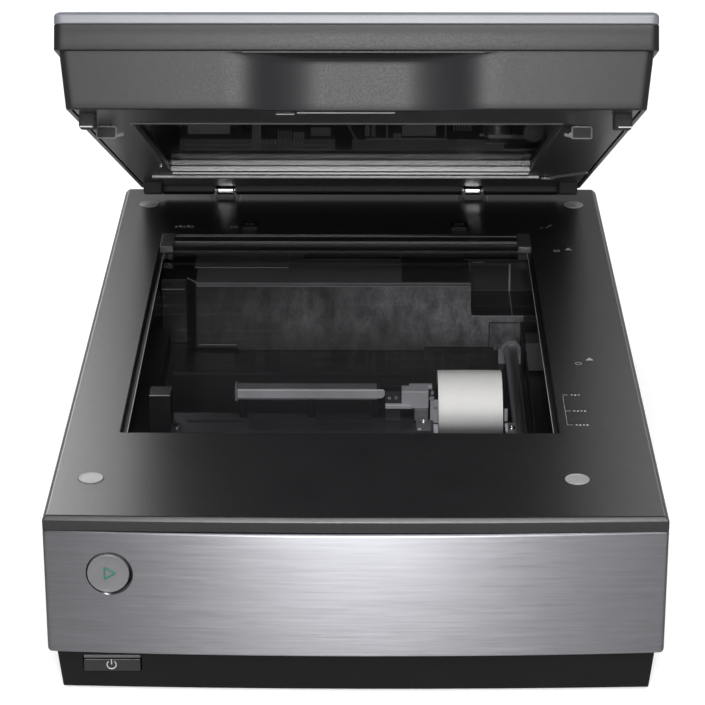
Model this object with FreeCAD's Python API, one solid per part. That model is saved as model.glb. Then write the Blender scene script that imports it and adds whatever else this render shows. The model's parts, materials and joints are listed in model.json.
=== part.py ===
import FreeCAD, Part
import math
import os

# Flatbed scanner with a thick, lit lid. Millimetres, +X to the right, +Y to the back, +Z up.
# Pieces are drawn with X = 0 at mid width, Y = 0 at the front corners and Z = 0 under the lower case,
# and are moved at the end so that the origin is at the middle of the footprint, on the desk.

V = FreeCAD.Vector
XAXIS = V(1, 0, 0)
YAXIS = V(0, 1, 0)
ZAXIS = V(0, 0, 1)

# ---- driving dimensions ----
WALL = 2.5               # moulded wall thickness
HALF_WIDTH = 154.0       # half of the body's 308 mm width
DEPTH = 498.0            # deck depth at the sides
DECK_TOP = 97.5          # top of the deck above the underside
DECK_LIP = 89.8          # underside of the deck's front lip
RIM_CHAMFER = 2.0        # chamfer round the deck's top edge
CORNER_R = 4.0           # vertical corner radius of the base
FASCIA_BOTTOM = 22.7     # underside of the silver front panel
DECK_BOW = 2.5           # how far the deck's front edge bows out
FASCIA_BOW = 5.0         # how far the silver panel bows out
CASE_BOW = 3.0           # how far the lower case bows out
FOOT_HEIGHT = 1.5        # rubber feet below the lower case
CASE_SCREW_SPOTS = [(x, y) for x in (-138, 138) for y in (70, 250, 430)]

OPEN_X0, OPEN_X1 = -124.0, 106.5    # scan opening in the deck
OPEN_Y0, OPEN_Y1 = 102.0, 408.0
GLASS_TOP = 94.3
GLASS_THICK = 3.0
GLASS_LEDGE = 5.0        # how far the glass reaches under the deck

FLOOR_TOP = 16.0         # inner floor that carries the mechanism
FLOOR_THICK = 2.0
SHELF_TOP = 60.0         # top of the electronics cover
SHELF_FRONT = 418.5
LEDGE_TOP = 40.0         # lower corner of the electronics cover
LEDGE_X0, LEDGE_X1 = 70.6, 136.0
LEDGE_BACK = 460.0

SHAFT_X, SHAFT_Z, SHAFT_R = 95.0, 26.0, 4.0
SHAFT_Y0, SHAFT_Y1 = 14.0, 402.0
RUN_CLEAR = 0.05         # radial running clearance of shafts and pins

CARR_Y0, CARR_Y1 = 100.0, 196.0     # carriage, parked part of the way back
CARR_FRONT_TRAVEL = 85.0
CARR_REAR_TRAVEL = 205.0
OPTIC_X0, OPTIC_X1 = -103.0, 42.0
CARR_Z0, CARR_Z1 = 24.0, 66.0

PULLEY_X, PULLEY_R = 110.0, 6.0     # belt pulleys, pitch radius
PULLEY_REAR_Y, PULLEY_FRONT_Y = 438.5, 30.0
BELT_Z0, BELT_Z1 = 21.0, 27.0
BELT_THICK = 1.0
GEAR_MODULE = 0.75
GEAR_TEETH, PINION_TEETH = 42, 14
LID_MODULE, LID_PINION_TEETH = 0.7, 16

RIBBON_X0, RIBBON_X1 = 45.0, 81.0
RIBBON_Y, RIBBON_Z, RIBBON_R = 218.0, 50.0, 32.0   # centre and radius of the ribbon's arch
RIBBON_THICK = 0.4

START_X, START_Z, START_R = -122.2, 67.3, 10.4
POWER_X0, POWER_X1 = -136.6, -108.1
POWER_Z0, POWER_Z1 = 10.3, 17.2

HINGE_Y, HINGE_Z = 477.8, 103.0
LID_OPEN_DEG = 23.8      # opening at rest
HINGE_XS = (-87.8, 72.8)
BARREL_R, BARREL_LEN = 3.4, 11.3
HINGE_PIN_R = 1.5
RIDGE_R = 2.9            # hinge ridge under the lid's rear edge

LID_HALF = 148.0         # lid: half width of its top band
LID_FRONT, LID_REAR = 30.0, 496.0
LID_BOTTOM, LID_STEP, LID_SPLIT, LID_TOP = 104.6, 132.9, 145.8, 152.0
LID_STEP_IN = 2.5
LID_RIM = 7.0            # width of the case's top rim under the top panel
LID_CORNER_R = 3.4
WIN_X0, WIN_X1, WIN_Y0, WIN_Y1 = -114.6, 103.5, 104.0, 362.0
RECESS_X, RECESS_FLAT, RECESS_RAMP, RECESS_DEPTH = 3.0, 32.0, 22.0, 9.0

LAMP_Y0, LAMP_Y1, LAMP_Z0, LAMP_Z1 = 380.0, 431.0, 112.0, 126.0
LID_PINION_X, LID_PINION_Y = 108.9, 363.0


# ---- building helpers ----
def box(x0, x1, y0, y1, z0, z1):
    return Part.makeBox(x1 - x0, y1 - y0, z1 - z0, V(x0, y0, z0))


def rod(radius, length, x, y, z, direction=ZAXIS):
    return Part.makeCylinder(radius, length, V(x, y, z), direction)


def ring(outer, inner, length, x, y, z, direction=ZAXIS):
    return rod(outer, length, x, y, z, direction).cut(rod(inner, length, x, y, z, direction))


def fuse(*solids):
    body = solids[0]
    for other in solids[1:]:
        body = body.fuse(other)
    return body.removeSplitter()


def group(*solids):
    return Part.makeCompound(list(solids))


def extrude_x(points, x0, x1):
    loop = [V(x0, y, z) for y, z in points]
    return Part.Face(Part.makePolygon(loop + [loop[0]])).extrude(V(x1 - x0, 0, 0))


def extrude_z(points, z0, z1):
    loop = [V(x, y, z0) for x, y in points]
    return Part.Face(Part.makePolygon(loop + [loop[0]])).extrude(V(0, 0, z1 - z0))


def rounded_outline(x0, x1, y0, y1, z, radius):
    """Rectangle with round corners, in the plane at height z."""
    flat = Part.makePolygon([V(x0, y0, z), V(x1, y0, z), V(x1, y1, z), V(x0, y1, z), V(x0, y0, z)])
    plate = Part.Face(flat).extrude(V(0, 0, 1))
    upright = [e for e in plate.Edges if abs(e.tangentAt(e.FirstParameter).z) > 0.9]
    soft = plate.makeFillet(radius, upright)
    bottom = min(soft.Faces, key=lambda f: f.CenterOfMass.z)
    return bottom.OuterWire


def rounded_plate(x0, x1, y0, y1, z0, z1, radius):
    outline = rounded_outline(x0, x1, y0, y1, z0, radius)
    return Part.Face(outline).extrude(V(0, 0, z1 - z0))


def bowed_outline(half, front, back, bow, z):
    """Outline with straight sides and back, and a front that bows out by an arc."""
    left = V(-half, front, z)
    right = V(half, front, z)
    edges = [
        Part.Arc(left, V(0, front - bow, z), right).toShape(),
        Part.makeLine(right, V(half, back, z)),
        Part.makeLine(V(half, back, z), V(-half, back, z)),
        Part.makeLine(V(-half, back, z), left),
    ]
    return Part.Wire(edges)


def bowed_block(half, front, back, bow, z0, z1):
    return Part.Face(bowed_outline(half, front, back, bow, z0)).extrude(V(0, 0, z1 - z0))


def soften_upright(solid, radius, where=lambda edge: True):
    """Round the upright edges that the test picks."""
    upright = [
        e for e in solid.Edges
        if len(e.Vertexes) == 2
        and abs(e.Vertexes[0].X - e.Vertexes[1].X) < 0.01
        and abs(e.Vertexes[0].Y - e.Vertexes[1].Y) < 0.01
        and where(e)
    ]
    return solid.makeFillet(radius, upright)


def chamfer_top(solid, height, size):
    top = [e for e in solid.Edges if all(abs(v.Z - height) < 0.01 for v in e.Vertexes)]
    return solid.makeChamfer(size, top)


def fillet_top(solid, height, size):
    top = [e for e in solid.Edges if all(abs(v.Z - height) < 0.01 for v in e.Vertexes)]
    return solid.makeFillet(size, top)


def involute_gear(module, teeth, z0, z1, bore, phase_deg=0.0, backlash=0.12):
    """Spur gear with 20 degree involute flanks and slightly short, thin teeth."""
    pitch_r = module * teeth / 2
    base_r = pitch_r * math.cos(math.radians(20))
    tip_r = pitch_r + 0.8 * module
    root_r = pitch_r - 1.15 * module

    def involute(radius):
        if radius <= base_r:
            return 0.0
        angle = math.acos(base_r / radius)
        return math.tan(angle) - angle

    half_pitch_tooth = math.pi / (2 * teeth) - backlash / (2 * pitch_r)
    flank_start = max(base_r, root_r)
    steps = 4
    points = []
    for tooth in range(teeth):
        middle = math.radians(phase_deg) + 2 * math.pi * tooth / teeth
        flank = []
        for step in range(steps + 1):
            radius = flank_start + (tip_r - flank_start) * step / steps
            half = half_pitch_tooth + involute(pitch_r) - involute(radius)
            flank.append((radius, half))
        root_half = flank[0][1]
        points.append((root_r, middle - root_half))
        points.extend((radius, middle - half) for radius, half in flank)
        points.extend((radius, middle + half) for radius, half in reversed(flank))
        points.append((root_r, middle + root_half))
    clean = []
    for radius, angle in points:
        spot = (radius * math.cos(angle), radius * math.sin(angle))
        if not clean or math.dist(clean[-1], spot) > 1e-4:
            clean.append(spot)
    blank = extrude_z(clean, z0, z1)
    return blank.cut(rod(bore, z1 - z0, 0, 0, z0))


def lid_open(shape):
    """Swing a piece drawn in the closed lid up to the resting opening."""
    posed = shape.copy()
    posed.rotate(V(0, HINGE_Y, HINGE_Z), XAXIS, -LID_OPEN_DEG)
    return posed


# ---- base casings ----
def lower_case():
    taper = 2.2
    top = FASCIA_BOTTOM - 0.2
    half, front, back = HALF_WIDTH - 6.2, 5.8, DEPTH - 6.0
    outer = Part.makeLoft([
        bowed_outline(half, front, back, CASE_BOW, 0),
        bowed_outline(half + taper, front - taper, back + taper, CASE_BOW, top),
    ], True, True)
    inner = Part.makeLoft([
        bowed_outline(half - WALL, front + WALL, back - WALL, CASE_BOW, WALL),
        bowed_outline(half + taper - WALL, front - taper + WALL, back + taper - WALL, CASE_BOW, top + 0.01),
    ], True, True)
    shell = outer.cut(inner)
    shell = shell.cut(box(POWER_X0 - 0.4, POWER_X1 + 0.4, -10, 12, POWER_Z0 - 0.4, POWER_Z1 + 2.3))
    posts = [
        rod(4.5, FLOOR_TOP - FLOOR_THICK - WALL + 0.5, x, y, WALL - 0.5)
        for x in (-130, 0, 130) for y in (40, 180, 320, 470)
    ]
    shell = fuse(shell, *posts)
    for x, y in CASE_SCREW_SPOTS:
        shell = shell.cut(rod(2.6, 1.3, x, y, 0)).cut(rod(1.2, WALL, x, y, 0))
    return shell


def chassis_floor():
    plate = rounded_plate(-145.5, 145.5, 11.0, DEPTH - 11.0, FLOOR_TOP - FLOOR_THICK, FLOOR_TOP, 3)
    rim_out = rounded_plate(-145.5, 145.5, 11.0, DEPTH - 11.0, FLOOR_TOP, 30.0, 3)
    rim_in = rounded_plate(-143.5, 143.5, 13.0, DEPTH - 13.0, FLOOR_TOP, 30.0, 2)
    ribs = [
        box(-117.0, 38.0, y, y + 1.4, FLOOR_TOP - 0.5, FLOOR_TOP + 2.0)
        for y in (70, 150, 230, 310, 375)
    ]
    return fuse(plate, rim_out.cut(rim_in), *ribs)


def deck_cover():
    z_side = FASCIA_BOTTOM
    block = bowed_block(HALF_WIDTH, 0, DEPTH, DECK_BOW, z_side, DECK_TOP)
    block = soften_upright(block, CORNER_R, lambda e: e.Vertexes[0].Y > DEPTH / 2)
    block = chamfer_top(block, DECK_TOP, RIM_CHAMFER)
    block = block.cut(box(-HALF_WIDTH - 1, HALF_WIDTH + 1, -10, 3.2, z_side - 1, DECK_LIP))
    inner = HALF_WIDTH - WALL
    block = block.cut(box(-inner, inner, 3.0, DEPTH - 5.4, z_side - 1, DECK_TOP - WALL - 0.7))
    block = block.cut(box(-inner + 1, inner - 1, 5.0, DEPTH + 1, z_side - 1, 92.0))
    opening = soften_upright(box(OPEN_X0, OPEN_X1, OPEN_Y0, OPEN_Y1, 85, 105), 1.5)
    block = block.cut(opening)
    for x in HINGE_XS:
        block = block.cut(box(x - 9.2, x + 9.2, HINGE_Y - 8.2, HINGE_Y + 8.2, 90, 100))
    return block.removeSplitter()


def front_fascia():
    panel = bowed_block(HALF_WIDTH, 0, 3.0, FASCIA_BOW, FASCIA_BOTTOM, DECK_LIP - 0.3)
    panel = panel.cut(rod(START_R + 0.7, 20, START_X, -10, START_Z, YAXIS))
    ribs = [
        box(x, x + 2.0, 2.9, 6.0, FASCIA_BOTTOM + 4, DECK_LIP - 8)
        for x in (-146.0, -74.0, 0.0, 74.0, 144.0)
    ]
    collar = ring(START_R + 3.0, START_R + 0.7, 4.0, START_X, 2.9, START_Z, YAXIS)
    return fuse(panel, collar, *ribs)


def rear_panel():
    half = HALF_WIDTH - WALL - 1.4
    plate = box(-half, half, DEPTH - 3.0, DEPTH - 0.6, FASCIA_BOTTOM, 91.6)
    plate = plate.cut(box(-116.4, -103.6, DEPTH - 9, DEPTH + 1, 31.6, 44.4))
    plate = plate.cut(box(-88.4, -75.6, DEPTH - 9, DEPTH + 1, 31.6, 43.4))
    plate = plate.cut(box(-60.4, -29.6, DEPTH - 9, DEPTH + 1, 31.6, 44.4))
    vents = [box(x, x + 2.2, DEPTH - 4, DEPTH, 30, 46) for x in range(30, 130, 6)]
    for vent in vents:
        plate = plate.cut(vent)
    return plate


def cover_shape(shrink, top_drop):
    """Electronics cover's outer shape, or its hollow when shrunk by the wall."""
    s = shrink
    plan = [
        (-127 + s, 427.6 + s), (-111 + s * 0.6, 427.6 + s), (-105 + s * 0.6, SHELF_FRONT + s),
        (LEDGE_X0 - s, SHELF_FRONT + s), (LEDGE_X0 - s, 484 - s), (-127 + s, 484 - s),
    ]
    main = extrude_z(plan, FLOOR_TOP + 0.1, SHELF_TOP - top_drop)
    back = box(LEDGE_X0 - 3 - s, LEDGE_X1 - s, LEDGE_BACK + s, 484 - s, FLOOR_TOP + 0.1, 62 - top_drop)
    ledge = box(LEDGE_X0 - 3 - s, LEDGE_X1 - s, 416 + s, LEDGE_BACK + 6, FLOOR_TOP + 0.1, LEDGE_TOP - top_drop)
    return main.fuse(back).fuse(ledge)


def board_cover():
    shell = cover_shape(0, 0).cut(cover_shape(2.0, 2.0))
    lip = box(-105, LEDGE_X0, SHELF_FRONT - 1.6, SHELF_FRONT + 0.4, SHELF_TOP - 3.2, SHELF_TOP)
    snout = rounded_plate(102.0, 118.0, 378.0, 418.0, FLOOR_TOP + 0.1, 36, 3.5)
    shell = fuse(shell, lip, snout)
    shell = shell.cut(box(102.9, 117.1, 376.0, 420.0, FLOOR_TOP, 30.5))
    shell = shell.cut(box(44, 82, 416.0, 424.0, FLOOR_TOP, 20.0))
    seam = box(-106.0, -14.0, 440.0, 440.6, SHELF_TOP - 0.5, SHELF_TOP + 1)
    raised = rounded_plate(-4.0, 62.0, 440.0, 466.0, SHELF_TOP - 0.2, SHELF_TOP + 1.2, 2)
    return fuse(shell.cut(seam), raised)


def rubber_feet():
    feet = []
    for x in (-125, 125):
        for y in (35, 460):
            foot = rod(9.0, FOOT_HEIGHT, x, y, -FOOT_HEIGHT)
            sole = [e for e in foot.Edges if all(v.Z < -1 for v in e.Vertexes) and len(e.Vertexes) == 1]
            feet.append(foot.makeChamfer(0.4, sole))
    return group(*feet)


def case_screws():
    screws = []
    for x, y in CASE_SCREW_SPOTS:
        head = rod(2.4, 1.2, x, y, 0.1)
        cross = fuse(box(x - 1.4, x + 1.4, y - 0.3, y + 0.3, 0, 0.8), box(x - 0.3, x + 0.3, y - 1.4, y + 1.4, 0, 0.8))
        screws.append(fuse(head.cut(cross), rod(1.2, 6.0, x, y, 1.2)))
    return group(*screws)


def deck_caps():
    spots = ((-134.0, 44.7), (111.6, 44.3), (-136.5, 465.5), (137.5, 464.7))
    caps = []
    for x, y in spots:
        cap = rod(6.3, 0.6, x, y, DECK_TOP)
        caps.append(cap.makeFillet(0.3, [e for e in cap.Edges if abs(e.CenterOfMass.z - DECK_TOP - 0.6) < 0.01]))
    return group(*caps)


# ---- scan area ----
def scan_glass():
    return box(OPEN_X0 - GLASS_LEDGE, OPEN_X1 + GLASS_LEDGE, OPEN_Y0 - GLASS_LEDGE,
               OPEN_Y1 + GLASS_LEDGE, GLASS_TOP - GLASS_THICK, GLASS_TOP)


def glass_gasket():
    inset, width = 3.0, 0.8
    x0, x1, y0, y1 = OPEN_X0 + inset, OPEN_X1 - inset, OPEN_Y0 - 3, OPEN_Y1 + 3
    z1 = GLASS_TOP - GLASS_THICK
    frame = box(OPEN_X0 - 5, OPEN_X1 + 5, y0 - 2, y1 + 2, z1 - 1.0, z1)
    return frame.cut(box(x0, x1, y0 + width, y1 - width, z1 - 2, z1 + 1))


def rear_glass_bar():
    bar = box(OPEN_X0 + 2.0, OPEN_X1 - 2.0, 396.0, OPEN_Y1 - 0.7, GLASS_TOP + 0.3, DECK_TOP - 0.2)
    ends = []
    for x in (OPEN_X0 + 0.6, OPEN_X1 - 8.4):
        block = box(x, x + 7.8, 383.0, OPEN_Y1 - 0.7, GLASS_TOP, DECK_TOP + 1.0)
        ends.append(soften_upright(block, 0.6))
    step = box(OPEN_X0 + 2.0, OPEN_X1 - 2.0, 384.0, 396.2, GLASS_TOP + 0.3, DECK_TOP - 1.6)
    return fuse(bar, step, *ends)


def calibration_strip():
    return box(OPEN_X0 + 9.0, OPEN_X1 - 9.0, 397.0, OPEN_Y1 - 1.5, GLASS_TOP, GLASS_TOP + 0.3)


def holder_sockets():
    blocks = []
    for x0, x1 in ((-74.7, -64.3), (57.0, 67.8)):
        base = rounded_plate(x0, x1, 415.0, 425.0, DECK_TOP, DECK_TOP + 2.6, 1.0)
        slot = box(x0 + 2.2, x1 - 2.2, 417.5, 422.0, DECK_TOP + 0.8, DECK_TOP + 4)
        blocks.append(base.cut(slot))
    return group(*blocks)


# ---- guide shaft, rail and belt drive ----
def guide_shaft():
    shaft = rod(SHAFT_R, SHAFT_Y1 - SHAFT_Y0, SHAFT_X, SHAFT_Y0, SHAFT_Z, YAXIS)
    return shaft.makeChamfer(0.5, [e for e in shaft.Edges if e.Length < 30 and len(e.Vertexes) == 1])


def shaft_holder(y0, y1, collar_y0, collar_y1):
    block = box(SHAFT_X - 7.5, SHAFT_X + 6.6, y0, y1, FLOOR_TOP, SHAFT_Z)
    hub = rod(6.4, y1 - y0, SHAFT_X, y0, SHAFT_Z, YAXIS)
    collar = rod(6.4, collar_y1 - collar_y0, SHAFT_X, collar_y0, SHAFT_Z, YAXIS)
    solid = fuse(block, hub, collar)
    solid = solid.cut(rod(SHAFT_R, 60, SHAFT_X, y0 - 20, SHAFT_Z, YAXIS))
    return solid.cut(ring(5.4, SHAFT_R, 0.8, SHAFT_X, collar_y0, SHAFT_Z, YAXIS))


def shaft_holders():
    front = shaft_holder(SHAFT_Y0, SHAFT_Y0 + 5.0, SHAFT_Y0 + 5.0, SHAFT_Y0 + 6.0)
    rear = shaft_holder(SHAFT_Y1 - 8.0, SHAFT_Y1, SHAFT_Y1 - 10.4, SHAFT_Y1 - 8.0)
    return group(front, rear)


def slide_rail():
    rail = box(-131.0, -121.0, 16.0, 410.0, FLOOR_TOP, 33.0)
    rail = rail.cut(box(-129.4, -122.6, 15.0, 411.0, FLOOR_TOP - 1, 31.4))
    ends = [box(-131.0, -121.0, y, y + 2, FLOOR_TOP, 33.0) for y in (14.0, 410.0)]
    return fuse(rail, *ends)


def belt_loop(outer):
    """Stadium-shaped loop round the two pulleys; outer is the distance from the pitch line."""
    r = PULLEY_R + outer
    span = box(PULLEY_X - r, PULLEY_X + r, PULLEY_FRONT_Y, PULLEY_REAR_Y, BELT_Z0, BELT_Z1)
    ends = [rod(r, BELT_Z1 - BELT_Z0, PULLEY_X, y, BELT_Z0) for y in (PULLEY_FRONT_Y, PULLEY_REAR_Y)]
    return fuse(span, *ends)


def drive_belt():
    return belt_loop(BELT_THICK / 2).cut(belt_loop(-BELT_THICK / 2))


def pulley(y, z0, z1):
    """Belt pulley with grooves and two flanges, on an upright pin."""
    drum_r = PULLEY_R - BELT_THICK / 2 - 0.3
    drum = rod(drum_r, z1 - z0, PULLEY_X, y, z0)
    teeth = 18
    for tooth in range(teeth):
        angle = 2 * math.pi * tooth / teeth
        groove = rod(0.45, BELT_Z1 - BELT_Z0 + 0.6, PULLEY_X + drum_r * math.cos(angle),
                     y + drum_r * math.sin(angle), BELT_Z0 - 0.3)
        drum = drum.cut(groove)
    flanges = [rod(PULLEY_R + 1.3, 0.7, PULLEY_X, y, z) for z in (BELT_Z0 - 1.1, BELT_Z1 + 0.4)]
    return fuse(drum, *flanges)


def idler_pulley():
    wheel = pulley(PULLEY_FRONT_Y, BELT_Z0 - 1.1, BELT_Z1 + 1.1)
    return wheel.cut(rod(1.5 + RUN_CLEAR, 12, PULLEY_X, PULLEY_FRONT_Y, BELT_Z0 - 3))


def idler_bracket():
    base = box(103.0, 117.0, 20.0, 42.0, 17.5, 19.0)
    cheek = box(103.0, 117.0, 18.4, 20.0, 17.5, 30.0)
    pin = rod(1.5, 11.5, PULLEY_X, PULLEY_FRONT_Y, 18.5)
    hook = box(108.8, 111.2, 42.0, 46.0, 17.5, 19.0)
    guides = [box(x, x + 3.0, 20.0, 42.0, FLOOR_TOP, 17.5) for x in (103.5, 113.5)]
    return fuse(base, cheek, pin, hook, *guides)


def tension_spring():
    """Closely wound tension spring lying along the floor behind the idler."""
    helix = Part.makeHelix(1.6, 16.0, 2.0)
    helix.rotate(V(0, 0, 0), XAXIS, -90)
    start = V(2.0, 0, 0)
    profile = Part.Wire(Part.makeCircle(0.35, start, ZAXIS))
    coil = Part.Wire(helix.Edges).makePipeShell([profile], True, False)
    coil.translate(V(PULLEY_X, 47.0, 19.5))
    return coil


def belt_gear():
    gear = involute_gear(GEAR_MODULE, GEAR_TEETH, 31.0, 35.0, 3.0, 360.0 / GEAR_TEETH / 2)
    gear.translate(V(PULLEY_X, PULLEY_REAR_Y, 0))
    web = rod(5.0, 8.0, PULLEY_X, PULLEY_REAR_Y, 28.0)
    wheel = fuse(pulley(PULLEY_REAR_Y, BELT_Z0 - 1.1, BELT_Z1 + 1.1), web, gear)
    for step in range(6):
        angle = math.radians(60 * step)
        hole = rod(2.4, 6, PULLEY_X + 9.8 * math.cos(angle), PULLEY_REAR_Y + 9.8 * math.sin(angle), 30.5)
        wheel = wheel.cut(hole)
    return wheel.cut(rod(1.5 + RUN_CLEAR, 30, PULLEY_X, PULLEY_REAR_Y, 15))


def motor_x():
    return PULLEY_X - GEAR_MODULE * (GEAR_TEETH + PINION_TEETH) / 2


def motor_pinion():
    pinion = involute_gear(GEAR_MODULE, PINION_TEETH, 30.6, 35.4, 1.0 + RUN_CLEAR, 0.0)
    pinion.translate(V(motor_x(), PULLEY_REAR_Y, 0))
    return pinion


def drive_motor():
    x, y = motor_x(), PULLEY_REAR_Y
    can = rod(12.8, 10.0, x, y, 19.6)
    can = can.makeFillet(0.8, [e for e in can.Edges if abs(e.CenterOfMass.z - 29.6) < 0.01])
    boss = rod(4.0, 0.6, x, y, 29.4)
    shaft = rod(1.0, 7.4, x, y, 29.6)
    plug = box(x - 5, x + 5, y - 16.0, y - 11, 20.0, 26.0)
    return fuse(can, boss, shaft, plug)


def motor_mount():
    x, y = motor_x(), PULLEY_REAR_Y
    plate = rounded_plate(x - 15.5, 124.0, y - 16.5, y + 16.5, 18.0, 19.5, 2)
    legs = [rod(2.5, 2.0, px, py, FLOOR_TOP) for px in (x - 12, 120.5) for py in (y - 13, y + 13)]
    pin = rod(1.5, 18.0, PULLEY_X, y, 18.5)
    return fuse(plate, pin, *legs)


# ---- carriage ----
def carriage_frame():
    tub = box(OPTIC_X0, OPTIC_X1, CARR_Y0, CARR_Y1, CARR_Z0, CARR_Z1)
    tub = tub.cut(box(OPTIC_X0 + 2, OPTIC_X1 - 2, CARR_Y0 + 2, CARR_Y1 - 2, CARR_Z0 + 2.5, CARR_Z1 + 1))
    deck = box(OPTIC_X1 - 1, 85.8, CARR_Y0, CARR_Y1, CARR_Z0, 30.0)
    flange = box(84.0, 85.8, CARR_Y0, CARR_Y1, 30.0, 40.0)
    ribs = [box(x, x + 1.5, CARR_Y0 + 2, CARR_Y1 - 2, CARR_Z0 + 2, 34.0) for x in (-74.0, 18.0)]
    return fuse(tub, deck, flange, *ribs)


def carriage_cover():
    plate = box(OPTIC_X0, OPTIC_X1, CARR_Y0, CARR_Y1, CARR_Z1, 68.0)
    slit = box(OPTIC_X0 + 8, OPTIC_X1 - 8, 182.0, 186.0, CARR_Z1 - 1, 70)
    ribs = [box(OPTIC_X0 + 7, OPTIC_X1 - 7, y, y + 1.2, 67.8, 69.4) for y in (112, 130, 148, 166)]
    post = box(15.4, 23.6, 188.6, 195.0, 67.8, 84.0)
    return fuse(plate.cut(slit), post, *ribs)


def lamp_bar():
    bar = box(-67.0, 15.0, 187.0, 196.0, 79.0, 85.0)
    groove = box(-65.0, 14.0, 190.5, 194.5, 84.0, 86.0)
    posts = [box(x, x + 4.0, 189.0, 195.0, 68.0, 80.0) for x in (-66.0, -28.0, 8.0)]
    tip = box(-68.2, -66.8, 186.6, 196.0, 76.5, 87.0)
    return fuse(bar.cut(groove), tip, *posts)


def lamp_bracket():
    block = box(24.2, 39.2, 186.6, 195.6, 73.4, 85.0)
    arm = box(15.2, 30.0, 184.6, 187.4, 75.2, 77.8)
    foot = box(31.4, 39.0, 184.6, 195.6, 68.0, 74.0)
    tab = box(28.4, 41.4, 195.0, 198.6, 82.6, 85.0)
    return fuse(block, arm, foot, tab)


def tilted_mirror(y, z, tilt_deg, width):
    strip = box(OPTIC_X0 + 4, OPTIC_X1 - 4, y - width / 2, y + width / 2, z - 1.0, z + 1.0)
    strip.rotate(V(0, y, z), XAXIS, tilt_deg)
    return strip


def mirrors():
    return group(
        tilted_mirror(184.0, 40.0, -45, 12), tilted_mirror(110.0, 40.0, 40, 14),
        tilted_mirror(176.0, 56.0, 62, 12), tilted_mirror(112.0, 57.5, -58, 10),
    )


def lens_block():
    """Carrier with the two lens barrels side by side."""
    sled = box(-56.0, -4.0, 132.0, 160.0, CARR_Z0 + 2.6, 34.0)
    sled = sled.cut(box(-52.0, -8.0, 136.0, 156.0, 31.0, 40.0))
    barrels = []
    for x in (-43.0, -17.0):
        cradle = box(x - 8, x + 8, 138.0, 154.0, 30.0, 42.0)
        barrel = rod(7.5, 22.0, x, 135.0, 42.0, YAXIS)
        nose = rod(6.0, 26.0, x, 133.0, 42.0, YAXIS)
        barrels.append(fuse(cradle, barrel, nose).cut(rod(4.6, 3.0, x, 133.0, 42.0, YAXIS)))
    return fuse(sled, *barrels)


def sensor_board():
    board = box(44.0, 83.4, CARR_Y0 + 4, CARR_Y1 - 3, 32.0, 33.6)
    studs = [rod(1.6, 2.0, x, y, 30.0) for x in (47.0, 80.5) for y in (108.0, 190.0)]
    header = box(44.6, 81.4, 183.0, 190.0, 33.6, 36.0).cut(box(45.0 - 0.3, 81.3, 185.6, 186.4, 34.6, 38.0))
    chips = [box(x, x + 9, y, y + 9, 33.6, 35.2) for x in (50.0, 66.0) for y in (120.0, 145.0)]
    return fuse(board, header, *studs, *chips)


def carriage_bearing():
    block = box(85.8, 100.6, 106.0, 184.0, 19.2, 34.0)
    block = block.cut(rod(SHAFT_R + RUN_CLEAR, 100, SHAFT_X, 100.0, SHAFT_Z, YAXIS))
    relief = rod(SHAFT_R + 0.8, 46.0, SHAFT_X, 122.0, SHAFT_Z, YAXIS)
    block = block.cut(relief)
    bosses = [box(86.4, 92.0, y, y + 12, 34.0, 40.0) for y in (118.0, 150.0)]
    return fuse(block, *bosses)


def belt_clamp():
    left = box(100.6, PULLEY_X - PULLEY_R - 0.9, 136.0, 156.0, 20.0, 30.0)
    right = box(PULLEY_X - PULLEY_R + 0.9, 106.4, 136.0, 156.0, 20.0, 30.0)
    bridge = box(100.6, 106.4, 136.0, 156.0, BELT_Z1 + 0.4, 30.0)
    return fuse(left, right, bridge)


def carriage_slider():
    arm = box(-119.0, OPTIC_X0, 160.0, 192.0, 40.0, 46.0)
    foot = box(-130.0, -117.0, 150.0, 196.0, 34.6, 46.0)
    pad = box(-129.0, -122.5, 152.0, 194.0, 33.1, 34.7)
    tower = box(-115.2, OPTIC_X0, 176.0, 190.0, 45.9, 86.5)
    return fuse(arm, foot, pad, tower)


def carriage_screws():
    spots = ((38.8, 150.0, 68.0), (-100.0, 106.0, 68.0), (-100.0, 176.0, 68.0), (38.8, 106.0, 68.0),
             (89.2, 124.0, 40.0), (89.2, 156.0, 40.0))
    screws = [rod(2.2, 1.2, x, y, z) for x, y, z in spots]
    facing = [rod(0.9, 0.8, x, 187.8, 80.5, YAXIS) for x in (17.6, 21.2)]
    return group(*screws, *facing)


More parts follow.
